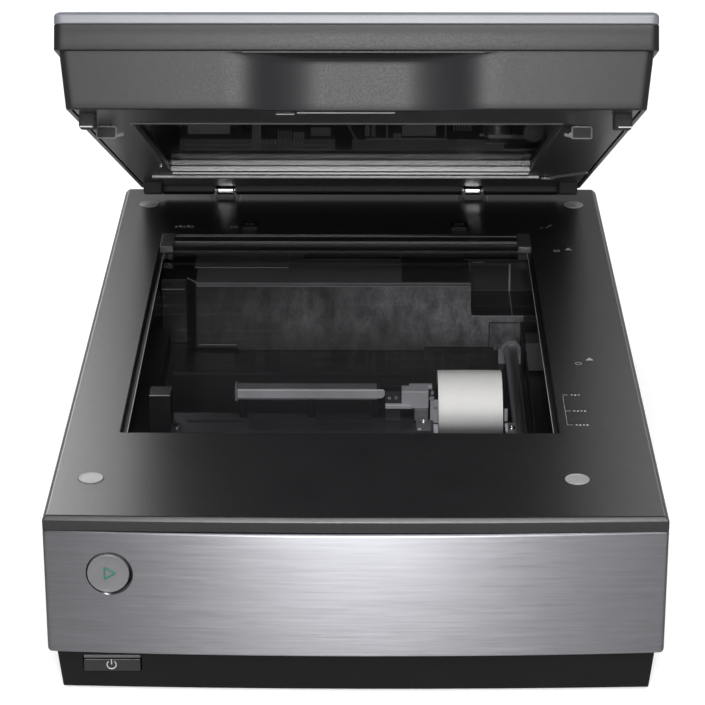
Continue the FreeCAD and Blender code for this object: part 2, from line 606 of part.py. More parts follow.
# ---- ribbon cable and electronics ----
def ribbon_cable():
    """White flat cable: up from the carriage, over an arch, down and back under the channel."""
    def path(offset):
        r = RIBBON_R + offset
        front, back = RIBBON_Y - r, RIBBON_Y + r
        low = FLOOR_TOP + 0.6 - offset
        return front, back, low

    half = RIBBON_THICK / 2
    f_out, b_out, _ = path(half)
    f_in, b_in, _ = path(-half)
    low0, low1 = FLOOR_TOP + 0.3, FLOOR_TOP + 0.3 + RIBBON_THICK
    x = RIBBON_X0
    end_y = 423.0
    top = V(x, RIBBON_Y, RIBBON_Z + RIBBON_R + half)
    under = V(x, RIBBON_Y, RIBBON_Z + RIBBON_R - half)
    edges = [
        Part.makeLine(V(x, f_out, 34.8), V(x, f_out, RIBBON_Z)),
        Part.Arc(V(x, f_out, RIBBON_Z), top, V(x, b_out, RIBBON_Z)).toShape(),
        Part.makeLine(V(x, b_out, RIBBON_Z), V(x, b_out, low1)),
        Part.makeLine(V(x, b_out, low1), V(x, end_y, low1)),
        Part.makeLine(V(x, end_y, low1), V(x, end_y, low0)),
        Part.makeLine(V(x, end_y, low0), V(x, b_in, low0)),
        Part.makeLine(V(x, b_in, low0), V(x, b_in, RIBBON_Z)),
        Part.Arc(V(x, b_in, RIBBON_Z), under, V(x, f_in, RIBBON_Z)).toShape(),
        Part.makeLine(V(x, f_in, RIBBON_Z), V(x, f_in, 34.8)),
        Part.makeLine(V(x, f_in, 34.8), V(x, f_out, 34.8)),
    ]
    return Part.Face(Part.Wire(edges)).extrude(V(RIBBON_X1 - RIBBON_X0, 0, 0))


def ribbon_channel():
    back = RIBBON_Y + RIBBON_R
    cover = box(RIBBON_X0 - 4, RIBBON_X1 + 4, back - 3, 415.8, FLOOR_TOP, FLOOR_TOP + 2.4)
    cover = cover.cut(box(RIBBON_X0 - 0.5, RIBBON_X1 + 0.5, back - 4, SHELF_FRONT, FLOOR_TOP, FLOOR_TOP + 1.4))
    return cover.cut(box(RIBBON_X0 - 0.5, RIBBON_X1 + 0.5, back - 1, back + 1, FLOOR_TOP, FLOOR_TOP + 4))


def main_board():
    z = 22.0
    board = box(-100.0, 66.0, 426.0, 480.0, z, z + 1.6)
    studs = [rod(2.5, z - FLOOR_TOP, x, y, FLOOR_TOP) for x in (-95.0, 61.0) for y in (431.0, 475.0)]
    chips = [box(x, x + w, y, y + w, z + 1.6, z + 3.4) for x, y, w in ((-20, 440, 20), (12, 444, 14), (-60, 438, 12))]
    caps = [rod(4.0, 12.0, x, 468.0, z + 1.6) for x in (-90.0, -78.0, 20.0, 32.0)]
    socket = box(44.0, 64.0, 428.0, 434.0, z + 1.6, z + 6.0)
    return fuse(board, socket, *studs, *chips, *caps)


def button_board():
    board = box(-140.0, -104.0, 9.6, 11.2, 38.0, 80.0)
    switch = box(START_X - 3, START_X + 3, 7.9, 9.6, START_Z - 3, START_Z + 3)
    arms = [box(x, x + 2.5, 3.0, 9.6, 76.0, 79.0) for x in (-138.5, -108.0)]
    return fuse(board, switch, *arms)


def dc_inlet():
    shell = box(-116.0, -104.0, DEPTH - 14.0, DEPTH - 1.2, 32.0, 44.0)
    shell = shell.cut(rod(3.2, 12.0, -110.0, DEPTH - 12.2, 38.0, YAXIS))
    return fuse(shell, rod(1.0, 6.0, -110.0, DEPTH - 12.7, 38.0, YAXIS))


def usb_port():
    shell = box(-88.0, -76.0, DEPTH - 14.0, DEPTH - 1.2, 32.0, 43.0)
    shell = shell.cut(box(-86.2, -77.8, DEPTH - 11.0, DEPTH, 33.6, 41.4))
    return fuse(shell, box(-84.8, -79.2, DEPTH - 11.5, DEPTH - 6.6, 36.0, 39.2))


def option_connector():
    shell = box(-60.0, -30.0, DEPTH - 14.0, DEPTH - 1.2, 32.0, 44.0)
    shell = shell.cut(box(-57.5, -32.5, DEPTH - 11.0, DEPTH, 34.0, 42.0))
    pins = [
        box(x, x + 0.8, DEPTH - 11.5, DEPTH - 6.6, z, z + 0.8)
        for x in (-55.0, -51.0, -47.0, -43.0, -39.0, -35.0) for z in (36.0, 39.2)
    ]
    return fuse(shell, *pins)


# ---- controls ----
def start_button():
    """Domed disc with a stem towards its switch."""
    front = -2.6
    disc = rod(START_R, 5.4, START_X, front, START_Z, YAXIS)
    rim = [e for e in disc.Edges if abs(e.CenterOfMass.y - front) < 0.01]
    disc = disc.makeFillet(0.9, rim)
    dish = Part.makeSphere(60.0, V(START_X, front - 59.3, START_Z))
    return fuse(disc.cut(dish), rod(2.0, 4.0, START_X, 2.7, START_Z, YAXIS))


def power_button():
    cap = box(POWER_X0, POWER_X1, 2.3, 6.4, POWER_Z0, POWER_Z1)
    cap = cap.makeFillet(0.5, [e for e in cap.Edges if abs(e.CenterOfMass.y - 2.3) < 0.01])
    stem = box(-124.0, -121.0, 6.3, 9.0, 13.0, 16.0)
    return fuse(cap, stem)


def status_light():
    return box(POWER_X0, POWER_X1, 3.0, 6.4, POWER_Z1 + 0.3, POWER_Z1 + 1.9)


# ---- hinges ----
def hinge_guides():
    guides = []
    for x in HINGE_XS:
        tube = box(x - 9.0, x + 9.0, HINGE_Y - 8.0, HINGE_Y + 8.0, 64.5, DECK_TOP - 0.1)
        tube = tube.cut(box(x - 6.0, x + 6.0, HINGE_Y - 3.0, HINGE_Y + 3.0, 64.0, 100.0))
        guides.append(tube)
    return group(*guides)


def hinge_posts():
    posts = []
    for x in HINGE_XS:
        post = box(x - 5.6, x + 5.6, HINGE_Y - 2.6, HINGE_Y + 2.6, 66.0, HINGE_Z - 1.2)
        post = post.cut(rod(BARREL_R, 20.0, x - 10.0, HINGE_Y, HINGE_Z, XAXIS))
        posts.append(post)
    return group(*posts)


def hinge_barrels():
    return group(*[
        ring(BARREL_R, HINGE_PIN_R + RUN_CLEAR, BARREL_LEN, x - BARREL_LEN / 2, HINGE_Y, HINGE_Z, XAXIS)
        for x in HINGE_XS
    ])


def lid_hinge_pins():
    return lid_open(group(*[rod(HINGE_PIN_R, 28.0, x - 14.0, HINGE_Y, HINGE_Z, XAXIS) for x in HINGE_XS]))


# ---- lid, drawn closed ----
def finger_recess(grow, top):
    """Scoop under the front edge: flat in the middle, ramped at its ends."""
    front = LID_FRONT - 5
    back = LID_FRONT + LID_STEP_IN + RECESS_DEPTH + grow
    wide = RECESS_FLAT + RECESS_RAMP + grow
    flat = RECESS_FLAT + grow
    plan = [
        (RECESS_X - wide, front), (RECESS_X + wide, front), (RECESS_X + wide, LID_FRONT + LID_STEP_IN + grow),
        (RECESS_X + flat, back), (RECESS_X - flat, back), (RECESS_X - wide, LID_FRONT + LID_STEP_IN + grow),
    ]
    return extrude_z(plan, LID_BOTTOM - 3, top)


def lid_lower_band(inset, z0, z1):
    """Tapered band under the lid's step."""
    bottom = rounded_outline(-142.5 + inset, 142.5 - inset, 35.6 + inset, 481.0 - inset, z0, LID_CORNER_R - inset)
    top = rounded_outline(-145.7 + inset, 145.7 - inset, LID_FRONT + LID_STEP_IN + inset,
                          493.5 - inset, z1, LID_CORNER_R - inset)
    return Part.makeLoft([bottom, top], True, True)


def hinge_ridge():
    ridge = rod(RIDGE_R, 256.0, -128.0, HINGE_Y, HINGE_Z, XAXIS)
    neck = box(-128.0, 128.0, HINGE_Y - RIDGE_R, HINGE_Y + 3.2, HINGE_Z, LID_BOTTOM + 3.0)
    return fuse(ridge, neck)


def lid_case():
    band = rounded_plate(-LID_HALF, LID_HALF, LID_FRONT, LID_REAR, LID_STEP, LID_SPLIT, LID_CORNER_R)
    outer = fuse(band, lid_lower_band(0, LID_BOTTOM, LID_STEP), hinge_ridge())
    outer = outer.cut(finger_recess(0, LID_STEP - 4))
    hollow = lid_lower_band(WALL, LID_BOTTOM - 0.01, LID_STEP)
    hollow = hollow.fuse(rounded_plate(-LID_HALF + LID_RIM, LID_HALF - LID_RIM, LID_FRONT + LID_RIM,
                                       LID_REAR - LID_RIM, LID_STEP - 1, LID_SPLIT + 1, 3.0))
    hollow = hollow.cut(finger_recess(WALL, LID_STEP - 1.5))
    ridge_keep = box(-130.0, 130.0, HINGE_Y - RIDGE_R - 1.6, LID_REAR, 95.0, HINGE_Z + RIDGE_R + 1.4)
    shell = outer.cut(hollow.cut(ridge_keep))
    shell = shell.cut(rod(HINGE_PIN_R, 260.0, -130.0, HINGE_Y, HINGE_Z, XAXIS))
    for x in HINGE_XS:
        shell = shell.cut(box(x - 7.2, x + 7.2, HINGE_Y - 8.0, HINGE_Y + 8.0, 95.0, HINGE_Z + 5.2))
    return lid_open(shell.removeSplitter())


def lid_top_panel():
    panel = rounded_plate(-LID_HALF, LID_HALF, LID_FRONT, LID_REAR, LID_SPLIT, LID_TOP, LID_CORNER_R)
    panel = fillet_top(panel, LID_TOP, 2.6)
    key_in, hollow_in = LID_RIM + 0.6, LID_RIM + 2.6
    key = rounded_plate(-LID_HALF + key_in, LID_HALF - key_in, LID_FRONT + key_in, LID_REAR - key_in,
                        LID_SPLIT - 2.0, LID_SPLIT + 0.1, 3)
    hollow = rounded_plate(-LID_HALF + hollow_in, LID_HALF - hollow_in, LID_FRONT + hollow_in,
                           LID_REAR - hollow_in, LID_SPLIT - 3.0, LID_TOP - 2.0, 2)
    return lid_open(fuse(panel, key).cut(hollow))


def lid_underside():
    z0, z1 = LID_BOTTOM + 0.6, LID_BOTTOM + 3.2
    plate = rounded_plate(-139.4, 139.4, 38.8, 470.8, z0, z1, 1.0)
    plate = plate.cut(finger_recess(WALL + 0.4, LID_STEP))
    plate = plate.cut(box(WIN_X0, WIN_X1, WIN_Y0, WIN_Y1, z0 - 1, z1 + 1))
    rim = box(WIN_X0 - 2.2, WIN_X1 + 2.2, WIN_Y0 - 2.2, WIN_Y1 + 2.2, z0 - 0.7, z0 + 0.1)
    rim = rim.cut(box(WIN_X0, WIN_X1, WIN_Y0, WIN_Y1, z0 - 2, z1))
    bars = [
        box(x0, x1, y, y + 5.0, z0 - 1.6, z0 + 0.1)
        for x0, x1, y in ((WIN_X0, WIN_X1, 374.0), (-129.0, 111.0, 396.0))
    ]
    hooks = []
    for x, side in ((-131.6, 1), (116.0, -1)):
        stem = box(x - 3.5, x + 3.5, 112.0, 130.0, z0 - 5.0, z0 + 0.1)
        toe = box(x - 3.5 + 3.0 * side, x + 3.5 + 3.0 * side, 112.0, 128.0, z0 - 5.0, z0 - 3.4)
        hooks.append(fuse(stem, toe))
    return lid_open(fuse(plate, rim, *bars, *hooks))


def lid_window():
    z0 = LID_BOTTOM + 3.3
    return lid_open(box(WIN_X0 - 3, WIN_X1 + 3, WIN_Y0 - 3, WIN_Y1 + 3, z0, z0 + 2.0))


def lid_pads():
    pads = []
    for x0, x1, y0, y1 in ((-138.0, -130.0, 54.0, 68.0), (128.0, 137.0, 54.0, 68.0),
                           (-138.0, -126.0, 440.0, 452.0), (126.0, 138.0, 440.0, 452.0)):
        pad = rounded_plate(x0, x1, y0, y1, DECK_TOP + 0.4, LID_BOTTOM + 0.6, 2.0)
        pads.append(pad)
    return lid_open(group(*pads))


def lid_rack():
    """Toothed strip along the right side, for the lamp carriage's pinion."""
    z0, z1 = 127.4, 132.6
    pitch_x = LID_PINION_X + LID_MODULE * LID_PINION_TEETH / 2
    step = math.pi * LID_MODULE
    tan20 = math.tan(math.radians(20))
    addendum, dedendum, backlash = 0.8 * LID_MODULE, 1.15 * LID_MODULE, 0.12
    first = LID_PINION_Y - step / 2 - step * math.floor((LID_PINION_Y - 100.0) / step)
    points = []
    centre = first
    while centre < LID_PINION_Y + 14.0:
        half = step / 4 - backlash / 2
        points.append((pitch_x + dedendum, centre - half - dedendum * tan20))
        points.append((pitch_x - addendum, centre - half + addendum * tan20))
        points.append((pitch_x - addendum, centre + half - addendum * tan20))
        points.append((pitch_x + dedendum, centre + half + dedendum * tan20))
        centre += step
    last = points[-1][1]
    back_x = pitch_x + 5.0
    outline = [(back_x, points[0][1])] + points + [(back_x, last)]
    strip = extrude_z(outline, z0, z1)
    web = box(back_x - 1.5, back_x + 1.0, points[0][1], last, z0, LID_TOP - 2.0)
    return lid_open(fuse(strip, web))


def lid_lamp():
    """Lamp carriage that crosses the lid above its window."""
    tray = box(WIN_X0 + 4, WIN_X1 - 4, LAMP_Y0, LAMP_Y1, LAMP_Z0, LAMP_Z1)
    tray = tray.cut(box(WIN_X0 + 6, WIN_X1 - 6, LAMP_Y0 + 2, LAMP_Y1 - 2, LAMP_Z0 - 1, LAMP_Z1 - 2))
    tube = rod(4.0, WIN_X1 - WIN_X0 - 12, WIN_X0 + 6, 406.0, 118.0, XAXIS)
    ribs = [box(WIN_X0 + 5, WIN_X1 - 5, y, y + 1.6, LAMP_Z0, LAMP_Z1 - 1) for y in (391.0, 419.0)]
    arm = box(92.0, 112.0, 356.0, 392.0, 124.0, 126.2)
    pin = rod(1.2, 8.0, LID_PINION_X, LID_PINION_Y, 125.5)
    return lid_open(fuse(tray, tube, arm, pin, *ribs))


def lid_pinion():
    pinion = involute_gear(LID_MODULE, LID_PINION_TEETH, 128.0, 132.0, 1.2 + RUN_CLEAR)
    pinion.translate(V(LID_PINION_X, LID_PINION_Y, 0))
    hub = ring(3.0, 1.2 + RUN_CLEAR, 5.0, LID_PINION_X, LID_PINION_Y, 127.0)
    return lid_open(fuse(pinion, hub))


def lid_motor():
    can = rod(9.0, 12.0, 84.0, 366.0, 126.4)
    ears = box(73.0, 95.0, 363.0, 369.0, 126.4, 127.6)
    tray_arm = box(78.0, 91.8, 357.0, 379.9, 124.2, 126.4)
    return lid_open(fuse(can, ears, tray_arm))


NODES = (
    lower_case, chassis_floor, deck_cover, front_fascia, rear_panel, board_cover, rubber_feet, case_screws,
    deck_caps, scan_glass, glass_gasket, rear_glass_bar, calibration_strip, holder_sockets, guide_shaft,
    shaft_holders, slide_rail, drive_belt, idler_pulley, idler_bracket, tension_spring, belt_gear,
    motor_pinion, drive_motor, motor_mount, carriage_frame, carriage_cover, lamp_bar, lamp_bracket, mirrors,
    lens_block, sensor_board, carriage_bearing, belt_clamp, carriage_slider, carriage_screws, ribbon_cable,
    ribbon_channel, main_board, button_board, dc_inlet, usb_port, option_connector, start_button,
    power_button, status_light, hinge_guides, hinge_posts, hinge_barrels, lid_hinge_pins, lid_case,
    lid_top_panel, lid_underside, lid_window, lid_pads, lid_rack, lid_lamp, lid_pinion, lid_motor,
)


def rear_reach():
    """How far back the open lid's top corner stands."""
    dy, dz = LID_REAR - HINGE_Y, LID_TOP - HINGE_Z
    angle = math.radians(LID_OPEN_DEG)
    return HINGE_Y + dy * math.cos(angle) + dz * math.sin(angle)


os.makedirs("parts", exist_ok=True)
middle_y = (rear_reach() - FASCIA_BOW) / 2
for make in NODES:
    piece = make()
    piece.translate(V(0, -middle_y, FOOT_HEIGHT))
    piece.exportStep("parts/" + make.__name__ + ".step")
    print(make.__name__, len(piece.Solids), "solids", round(piece.Volume / 1000, 2), "cm3", piece.isValid())
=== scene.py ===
import json
import math

import bmesh
import bpy
from mathutils import Matrix, Vector

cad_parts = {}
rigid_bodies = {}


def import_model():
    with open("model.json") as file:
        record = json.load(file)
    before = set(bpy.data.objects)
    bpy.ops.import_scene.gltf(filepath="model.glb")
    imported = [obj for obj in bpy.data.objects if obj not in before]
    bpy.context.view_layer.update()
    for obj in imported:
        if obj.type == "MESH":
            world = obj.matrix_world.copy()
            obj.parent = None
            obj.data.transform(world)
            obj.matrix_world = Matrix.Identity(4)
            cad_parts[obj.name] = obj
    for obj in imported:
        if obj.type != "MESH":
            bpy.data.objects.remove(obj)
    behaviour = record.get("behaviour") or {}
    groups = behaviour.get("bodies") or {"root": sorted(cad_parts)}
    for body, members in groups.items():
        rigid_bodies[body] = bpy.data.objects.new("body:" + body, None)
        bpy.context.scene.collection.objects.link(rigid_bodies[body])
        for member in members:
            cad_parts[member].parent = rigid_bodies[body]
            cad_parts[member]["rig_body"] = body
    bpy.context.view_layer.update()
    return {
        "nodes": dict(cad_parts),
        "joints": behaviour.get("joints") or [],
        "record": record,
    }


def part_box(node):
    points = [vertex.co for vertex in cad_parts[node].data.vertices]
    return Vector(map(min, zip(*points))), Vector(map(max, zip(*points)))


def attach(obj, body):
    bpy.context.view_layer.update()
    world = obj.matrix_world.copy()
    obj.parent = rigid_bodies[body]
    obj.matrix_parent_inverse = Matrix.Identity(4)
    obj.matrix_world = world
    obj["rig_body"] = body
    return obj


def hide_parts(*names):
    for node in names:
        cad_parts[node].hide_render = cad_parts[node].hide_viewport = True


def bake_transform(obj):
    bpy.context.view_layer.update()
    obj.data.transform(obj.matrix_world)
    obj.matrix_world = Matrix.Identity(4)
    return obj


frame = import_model()
scene = bpy.context.scene

# Pieces are drawn in millimetres in the body's drawing frame: X = 0 at mid width, Y = 0 at the front
# corners, Z = 0 under the lower case. BASE takes that to the row frame, and LID also opens the lid.
MM = 0.001
DEPTH = 498.0
deck_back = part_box("deck_cover")[1].y
case_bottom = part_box("lower_case")[0].z
BASE = Matrix.Translation((0, deck_back - DEPTH * MM, case_bottom)) @ Matrix.Scale(MM, 4)
lid_hinge = next(joint for joint in frame["joints"] if joint["name"] == "lid_hinge")
HINGE = Vector(lid_hinge["pos_m"])
LID_OPEN = math.radians(-lid_hinge["range_deg"][0])
LID = Matrix.Translation(HINGE) @ Matrix.Rotation(-LID_OPEN, 4, "X") @ Matrix.Translation(-HINGE) @ BASE


def drawn(node, place=BASE):
    """A CAD node's box in the drawing frame: (x0, x1, y0, y1, z0, z1) in millimetres."""
    back = place.inverted()
    points = [back @ v.co for v in frame["nodes"][node].data.vertices]
    spans = []
    for axis in range(3):
        values = [p[axis] for p in points]
        spans += [min(values), max(values)]
    return spans


# ---- camera and light ----
AMBIENT = 0.17
FLOOR_GLOW = 0.55
CAMERA_SPOT = 8.92, -1224.93, 685.88
CAMERA_TURN = 22.252, -0.48, -0.081  # pitch down, yaw and roll in degrees
LENS, SENSOR_WIDTH = 141.35, 36.0
LIGHTS = [  # name, place, aim, width, height, watts
    ("key_light", (0.0, -2.0, 1.15), (0, 0, 0.15), 0.40, 1.1, 41),
    ("top_light", (0.1, -1.25, 1.85), (0, 0, 0.15), 0.9, 0.5, 24),
    ("low_light", (0.0, -2.2, 0.42), (0, 0, 0.2), 0.5, 0.4, 1.0),
    ("rear_left_light", (-1.0, 2.0, 1.1), (0, 0.1, 0.1), 1.2, 0.9, 24),
    ("rear_right_light", (1.0, 2.0, 1.1), (0, 0.1, 0.1), 1.2, 0.9, 8.5),
]


def make_camera():
    pitch, yaw, roll = (math.radians(angle) for angle in CAMERA_TURN)
    forward = Vector((math.sin(yaw) * math.cos(pitch), math.cos(yaw) * math.cos(pitch), -math.sin(pitch)))
    right = Vector((math.cos(yaw), -math.sin(yaw), 0))
    up = right.cross(forward)
    side = math.cos(roll) * right + math.sin(roll) * up
    top = math.cos(roll) * up - math.sin(roll) * right
    turn = Matrix((side, top, -forward)).transposed().to_4x4()
    data = bpy.data.cameras.new("camera")
    data.sensor_width = SENSOR_WIDTH
    data.lens = LENS
    camera = bpy.data.objects.new("camera", data)
    scene.collection.objects.link(camera)
    camera.matrix_world = Matrix.Translation(BASE @ Vector(CAMERA_SPOT)) @ turn
    scene.camera = camera


def softbox(name, spot, aim, size, size_y, power):
    data = bpy.data.lights.new(name, "AREA")
    data.shape = "RECTANGLE"
    data.size, data.size_y = size, size_y
    data.energy = power
    lamp = bpy.data.objects.new(name, data)
    lamp.location = spot
    lamp.rotation_euler = (Vector(aim) - Vector(spot)).to_track_quat("-Z", "Y").to_euler()
    lamp.visible_camera = False
    scene.collection.objects.link(lamp)


def camera_sees(tree, seen, lit_by):
    """Mix two shaders: one for what the lens sees, one for what lights the object."""
    path = tree.nodes.new("ShaderNodeLightPath")
    mix = tree.nodes.new("ShaderNodeMixShader")
    tree.links.new(path.outputs["Is Camera Ray"], mix.inputs["Fac"])
    tree.links.new(lit_by, mix.inputs[1])
    tree.links.new(seen, mix.inputs[2])
    return mix.outputs["Shader"]


def make_world():
    world = bpy.data.worlds.new("studio")
    world.use_nodes = True
    tree = world.node_tree
    soft = tree.nodes["Background"]
    soft.inputs["Color"].default_value = (1.0, 1.0, 1.0, 1)
    soft.inputs["Strength"].default_value = AMBIENT
    white = tree.nodes.new("ShaderNodeBackground")
    white.inputs["Color"].default_value = (1.0, 1.0, 1.0, 1)
    out = tree.nodes["World Output"]
    tree.links.new(camera_sees(tree, white.outputs[0], soft.outputs[0]), out.inputs["Surface"])
    scene.world = world


def make_studio():
    make_world()
    for light in LIGHTS:
        softbox(*light)
    scene.view_settings.view_transform = "Standard"
    floor = bmesh.new()
    bmesh.ops.create_grid(floor, x_segments=1, y_segments=1, size=6.0)
    mesh = bpy.data.meshes.new("floor")
    floor.to_mesh(mesh)
    floor.free()
    obj = bpy.data.objects.new("floor", mesh)
    scene.collection.objects.link(obj)
    mesh.materials.append(floor_material())


# ---- materials ----
def new_material(name="finish"):
    material = bpy.data.materials.new(name)
    material.use_nodes = True
    tree = material.node_tree
    return material, tree, tree.nodes["Principled BSDF"]


def noise(tree, scale, detail=4.0, roughness=0.6):
    """Noise over the piece; scale is a number, or three for stretched grain, in repeats per metre."""
    if not isinstance(scale, tuple):
        scale = (scale, scale, scale)
    coords = tree.nodes.new("ShaderNodeTexCoord")
    mapping = tree.nodes.new("ShaderNodeMapping")
    mapping.inputs["Scale"].default_value = scale
    tree.links.new(coords.outputs["Object"], mapping.inputs["Vector"])
    texture = tree.nodes.new("ShaderNodeTexNoise")
    texture.inputs["Scale"].default_value = 1.0
    texture.inputs["Detail"].default_value = detail
    texture.inputs["Roughness"].default_value = roughness
    tree.links.new(mapping.outputs["Vector"], texture.inputs["Vector"])
    return texture.outputs["Fac"]


def spread(tree, value, low, high):
    """Map the middle of a noise's range to low..high."""
    node = tree.nodes.new("ShaderNodeMapRange")
    node.inputs["From Min"].default_value = 0.3
    node.inputs["From Max"].default_value = 0.7
    node.inputs["To Min"].default_value = low
    node.inputs["To Max"].default_value = high
    tree.links.new(value, node.inputs["Value"])
    return node.outputs["Result"]


def mix_colour(tree, value, dark, light):
    node = tree.nodes.new("ShaderNodeMix")
    node.data_type = "RGBA"
    node.inputs["A"].default_value = (*dark, 1)
    node.inputs["B"].default_value = (*light, 1)
    tree.links.new(value, node.inputs["Factor"])
    return node.outputs["Result"]


def add_bump(tree, shader, height, strength, distance):
    node = tree.nodes.new("ShaderNodeBump")
    node.inputs["Strength"].default_value = strength
    node.inputs["Distance"].default_value = distance
    tree.links.new(height, node.inputs["Height"])
    tree.links.new(node.outputs["Normal"], shader.inputs["Normal"])


def moulded(colour, rough, grain=1400.0, bump=0.25, vary=0.12, rough_vary=0.06, patch=35.0, gloss=0.5):
    """Moulded plastic: fine grain, slight cloudiness and uneven gloss."""
    material, tree, shader = new_material()
    cloud = spread(tree, noise(tree, patch, 3.0), 0.0, 1.0)
    dark = tuple(c * (1 - vary) for c in colour)
    light = tuple(c * (1 + vary) for c in colour)
    tree.links.new(mix_colour(tree, cloud, dark, light), shader.inputs["Base Color"])
    fine = noise(tree, grain, 3.0, 0.7)
    tree.links.new(spread(tree, fine, rough - rough_vary, rough + rough_vary), shader.inputs["Roughness"])
    shader.inputs["Specular IOR Level"].default_value = gloss
    add_bump(tree, shader, fine, bump, 0.00005)
    return material


def maths(tree, operation, *values):
    """Maths node fed by sockets or plain numbers."""
    node = tree.nodes.new("ShaderNodeMath")
    node.operation = operation
    for socket, value in zip(node.inputs, values):
        if isinstance(value, bpy.types.NodeSocket):
            tree.links.new(value, socket)
        else:
            socket.default_value = value
    return node.outputs[0]


def along(tree, axis, start, end, low, high):
    """Smooth change of a value from low to high between two places along an axis, in metres."""
    coords = tree.nodes.new("ShaderNodeTexCoord")
    split = tree.nodes.new("ShaderNodeSeparateXYZ")
    tree.links.new(coords.outputs["Object"], split.inputs[0])
    ramp = tree.nodes.new("ShaderNodeMapRange")
    ramp.interpolation_type = "SMOOTHSTEP"
    for socket, value in (("From Min", start), ("From Max", end), ("To Min", low), ("To Max", high)):
        ramp.inputs[socket].default_value = value
    tree.links.new(split.outputs[axis], ramp.inputs["Value"])
    return ramp.outputs["Result"]


def flat_cable():
    """White plastic ribbon, painted darker low down, where the real one lies in shade."""
    material, tree, shader = new_material()
    grain = spread(tree, noise(tree, 40.0, 3.0), 0.96, 1.0)
    value = maths(tree, "MULTIPLY", grain, along(tree, "Z", 0.0622, 0.0785, 0.03, 1.0))
    tree.links.new(mix_colour(tree, value, (0.0, 0.0, 0.0), (0.98, 0.97, 0.93)), shader.inputs["Base Color"])
    shader.inputs["Roughness"].default_value = 0.38
    return material


def mottled(dark, light, rough):
    """Satin plastic with blotchy patches.

    It is painted darker to the left and low down, where the real one is in shade.
    """
    material, tree, shader = new_material()
    broad = spread(tree, noise(tree, (20.0, 20.0, 16.0), 3.0, 0.6), 0.15, 1.0)
    blotch = spread(tree, noise(tree, (110.0, 110.0, 60.0), 8.0, 0.8), 0.0, 1.0)
    cloudy = maths(tree, "MULTIPLY", broad, blotch)
    paler = maths(tree, "MULTIPLY", along(tree, "X", -0.11, 0.03, 0.2, 1.0),
                  along(tree, "Z", 0.014, 0.045, 0.25, 1.0))
    both = maths(tree, "MULTIPLY", cloudy, paler)
    tree.links.new(mix_colour(tree, both, dark, light), shader.inputs["Base Color"])
    tree.links.new(spread(tree, blotch, rough + 0.08, rough - 0.08), shader.inputs["Roughness"])
    add_bump(tree, shader, blotch, 0.2, 0.0002)
    return material


def metal(colour, rough, streak=(60.0, 60.0, 60.0), bump=0.1, rough_vary=0.08):
    """Bare metal with fine streaks."""
    material, tree, shader = new_material()
    shader.inputs["Metallic"].default_value = 1.0
    lines = noise(tree, streak, 6.0, 0.65)
    dark = tuple(c * 0.9 for c in colour)
    light = tuple(min(1.0, c * 1.08) for c in colour)
    shade = spread(tree, lines, 0.0, 1.0)
    tree.links.new(mix_colour(tree, shade, dark, light), shader.inputs["Base Color"])
    tree.links.new(spread(tree, lines, rough - rough_vary, rough + rough_vary), shader.inputs["Roughness"])
    add_bump(tree, shader, lines, bump, 0.00003)
    return material


def brushed(colour, rough, aniso):
    """Horizontally brushed aluminium: fine scratches along X."""
    material, tree, shader = new_material()
    shader.inputs["Metallic"].default_value = 1.0
    shader.inputs["Anisotropic"].default_value = aniso
    tangent = tree.nodes.new("ShaderNodeTangent")
    tangent.direction_type = "UV_MAP"
    tangent.uv_map = "brushing"
    tree.links.new(tangent.outputs["Tangent"], shader.inputs["Tangent"])
    fine = noise(tree, (34.0, 900.0, 2400.0), 5.0, 0.7)
    broad = noise(tree, (9.0, 300.0, 520.0), 4.0, 0.6)
    lines = maths(tree, "MULTIPLY", maths(tree, "ADD", fine, broad), 0.5)
    dark = tuple(c * 0.84 for c in colour)
    light = tuple(min(1.0, c * 1.14) for c in colour)
    tree.links.new(mix_colour(tree, spread(tree, lines, 0.0, 1.0), dark, light), shader.inputs["Base Color"])
    tree.links.new(spread(tree, fine, rough - 0.04, rough + 0.05), shader.inputs["Roughness"])
    add_bump(tree, shader, lines, 0.12, 0.00004)
    return material


def pane(tint, gloss):
    """Thin glass: lets light straight through and mirrors a little by Fresnel."""
    material, tree, shader = new_material()
    tree.nodes.remove(shader)
    clear = tree.nodes.new("ShaderNodeBsdfTransparent")
    clear.inputs["Color"].default_value = (*tint, 1)
    mirror = tree.nodes.new("ShaderNodeBsdfGlossy")
    mirror.inputs["Roughness"].default_value = gloss
    facing = tree.nodes.new("ShaderNodeLayerWeight")
    facing.inputs["Blend"].default_value = 0.5
    steep = maths(tree, "POWER", facing.outputs["Facing"], 5.0)
    share = maths(tree, "MULTIPLY_ADD", steep, 0.75, 0.02)
    both = tree.nodes.new("ShaderNodeMixShader")
    tree.links.new(share, both.inputs["Fac"])
    tree.links.new(clear.outputs["BSDF"], both.inputs[1])
    tree.links.new(mirror.outputs["BSDF"], both.inputs[2])
    tree.links.new(both.outputs["Shader"], tree.nodes["Material Output"].inputs["Surface"])
    return material


def floor_material():
    """White to the lens, with soft shadows, and a little darker as a light on the object."""
    material, tree, shader = new_material("floor_paper")
    tree.nodes.remove(shader)
    cloud = spread(tree, noise(tree, 3.0, 2.0), 0.0, 1.0)
    paper = tree.nodes.new("ShaderNodeBsdfDiffuse")
    tree.links.new(mix_colour(tree, cloud, (0.60, 0.60, 0.60), (0.63, 0.63, 0.63)), paper.inputs["Color"])
    glow = tree.nodes.new("ShaderNodeEmission")
    glow.inputs["Strength"].default_value = FLOOR_GLOW
    both = tree.nodes.new("ShaderNodeAddShader")
    tree.links.new(paper.outputs[0], both.inputs[0])
    tree.links.new(glow.outputs[0], both.inputs[1])
    seen = camera_sees(tree, both.outputs[0], paper.outputs[0])
    tree.links.new(seen, tree.nodes["Material Output"].inputs["Surface"])
    return material


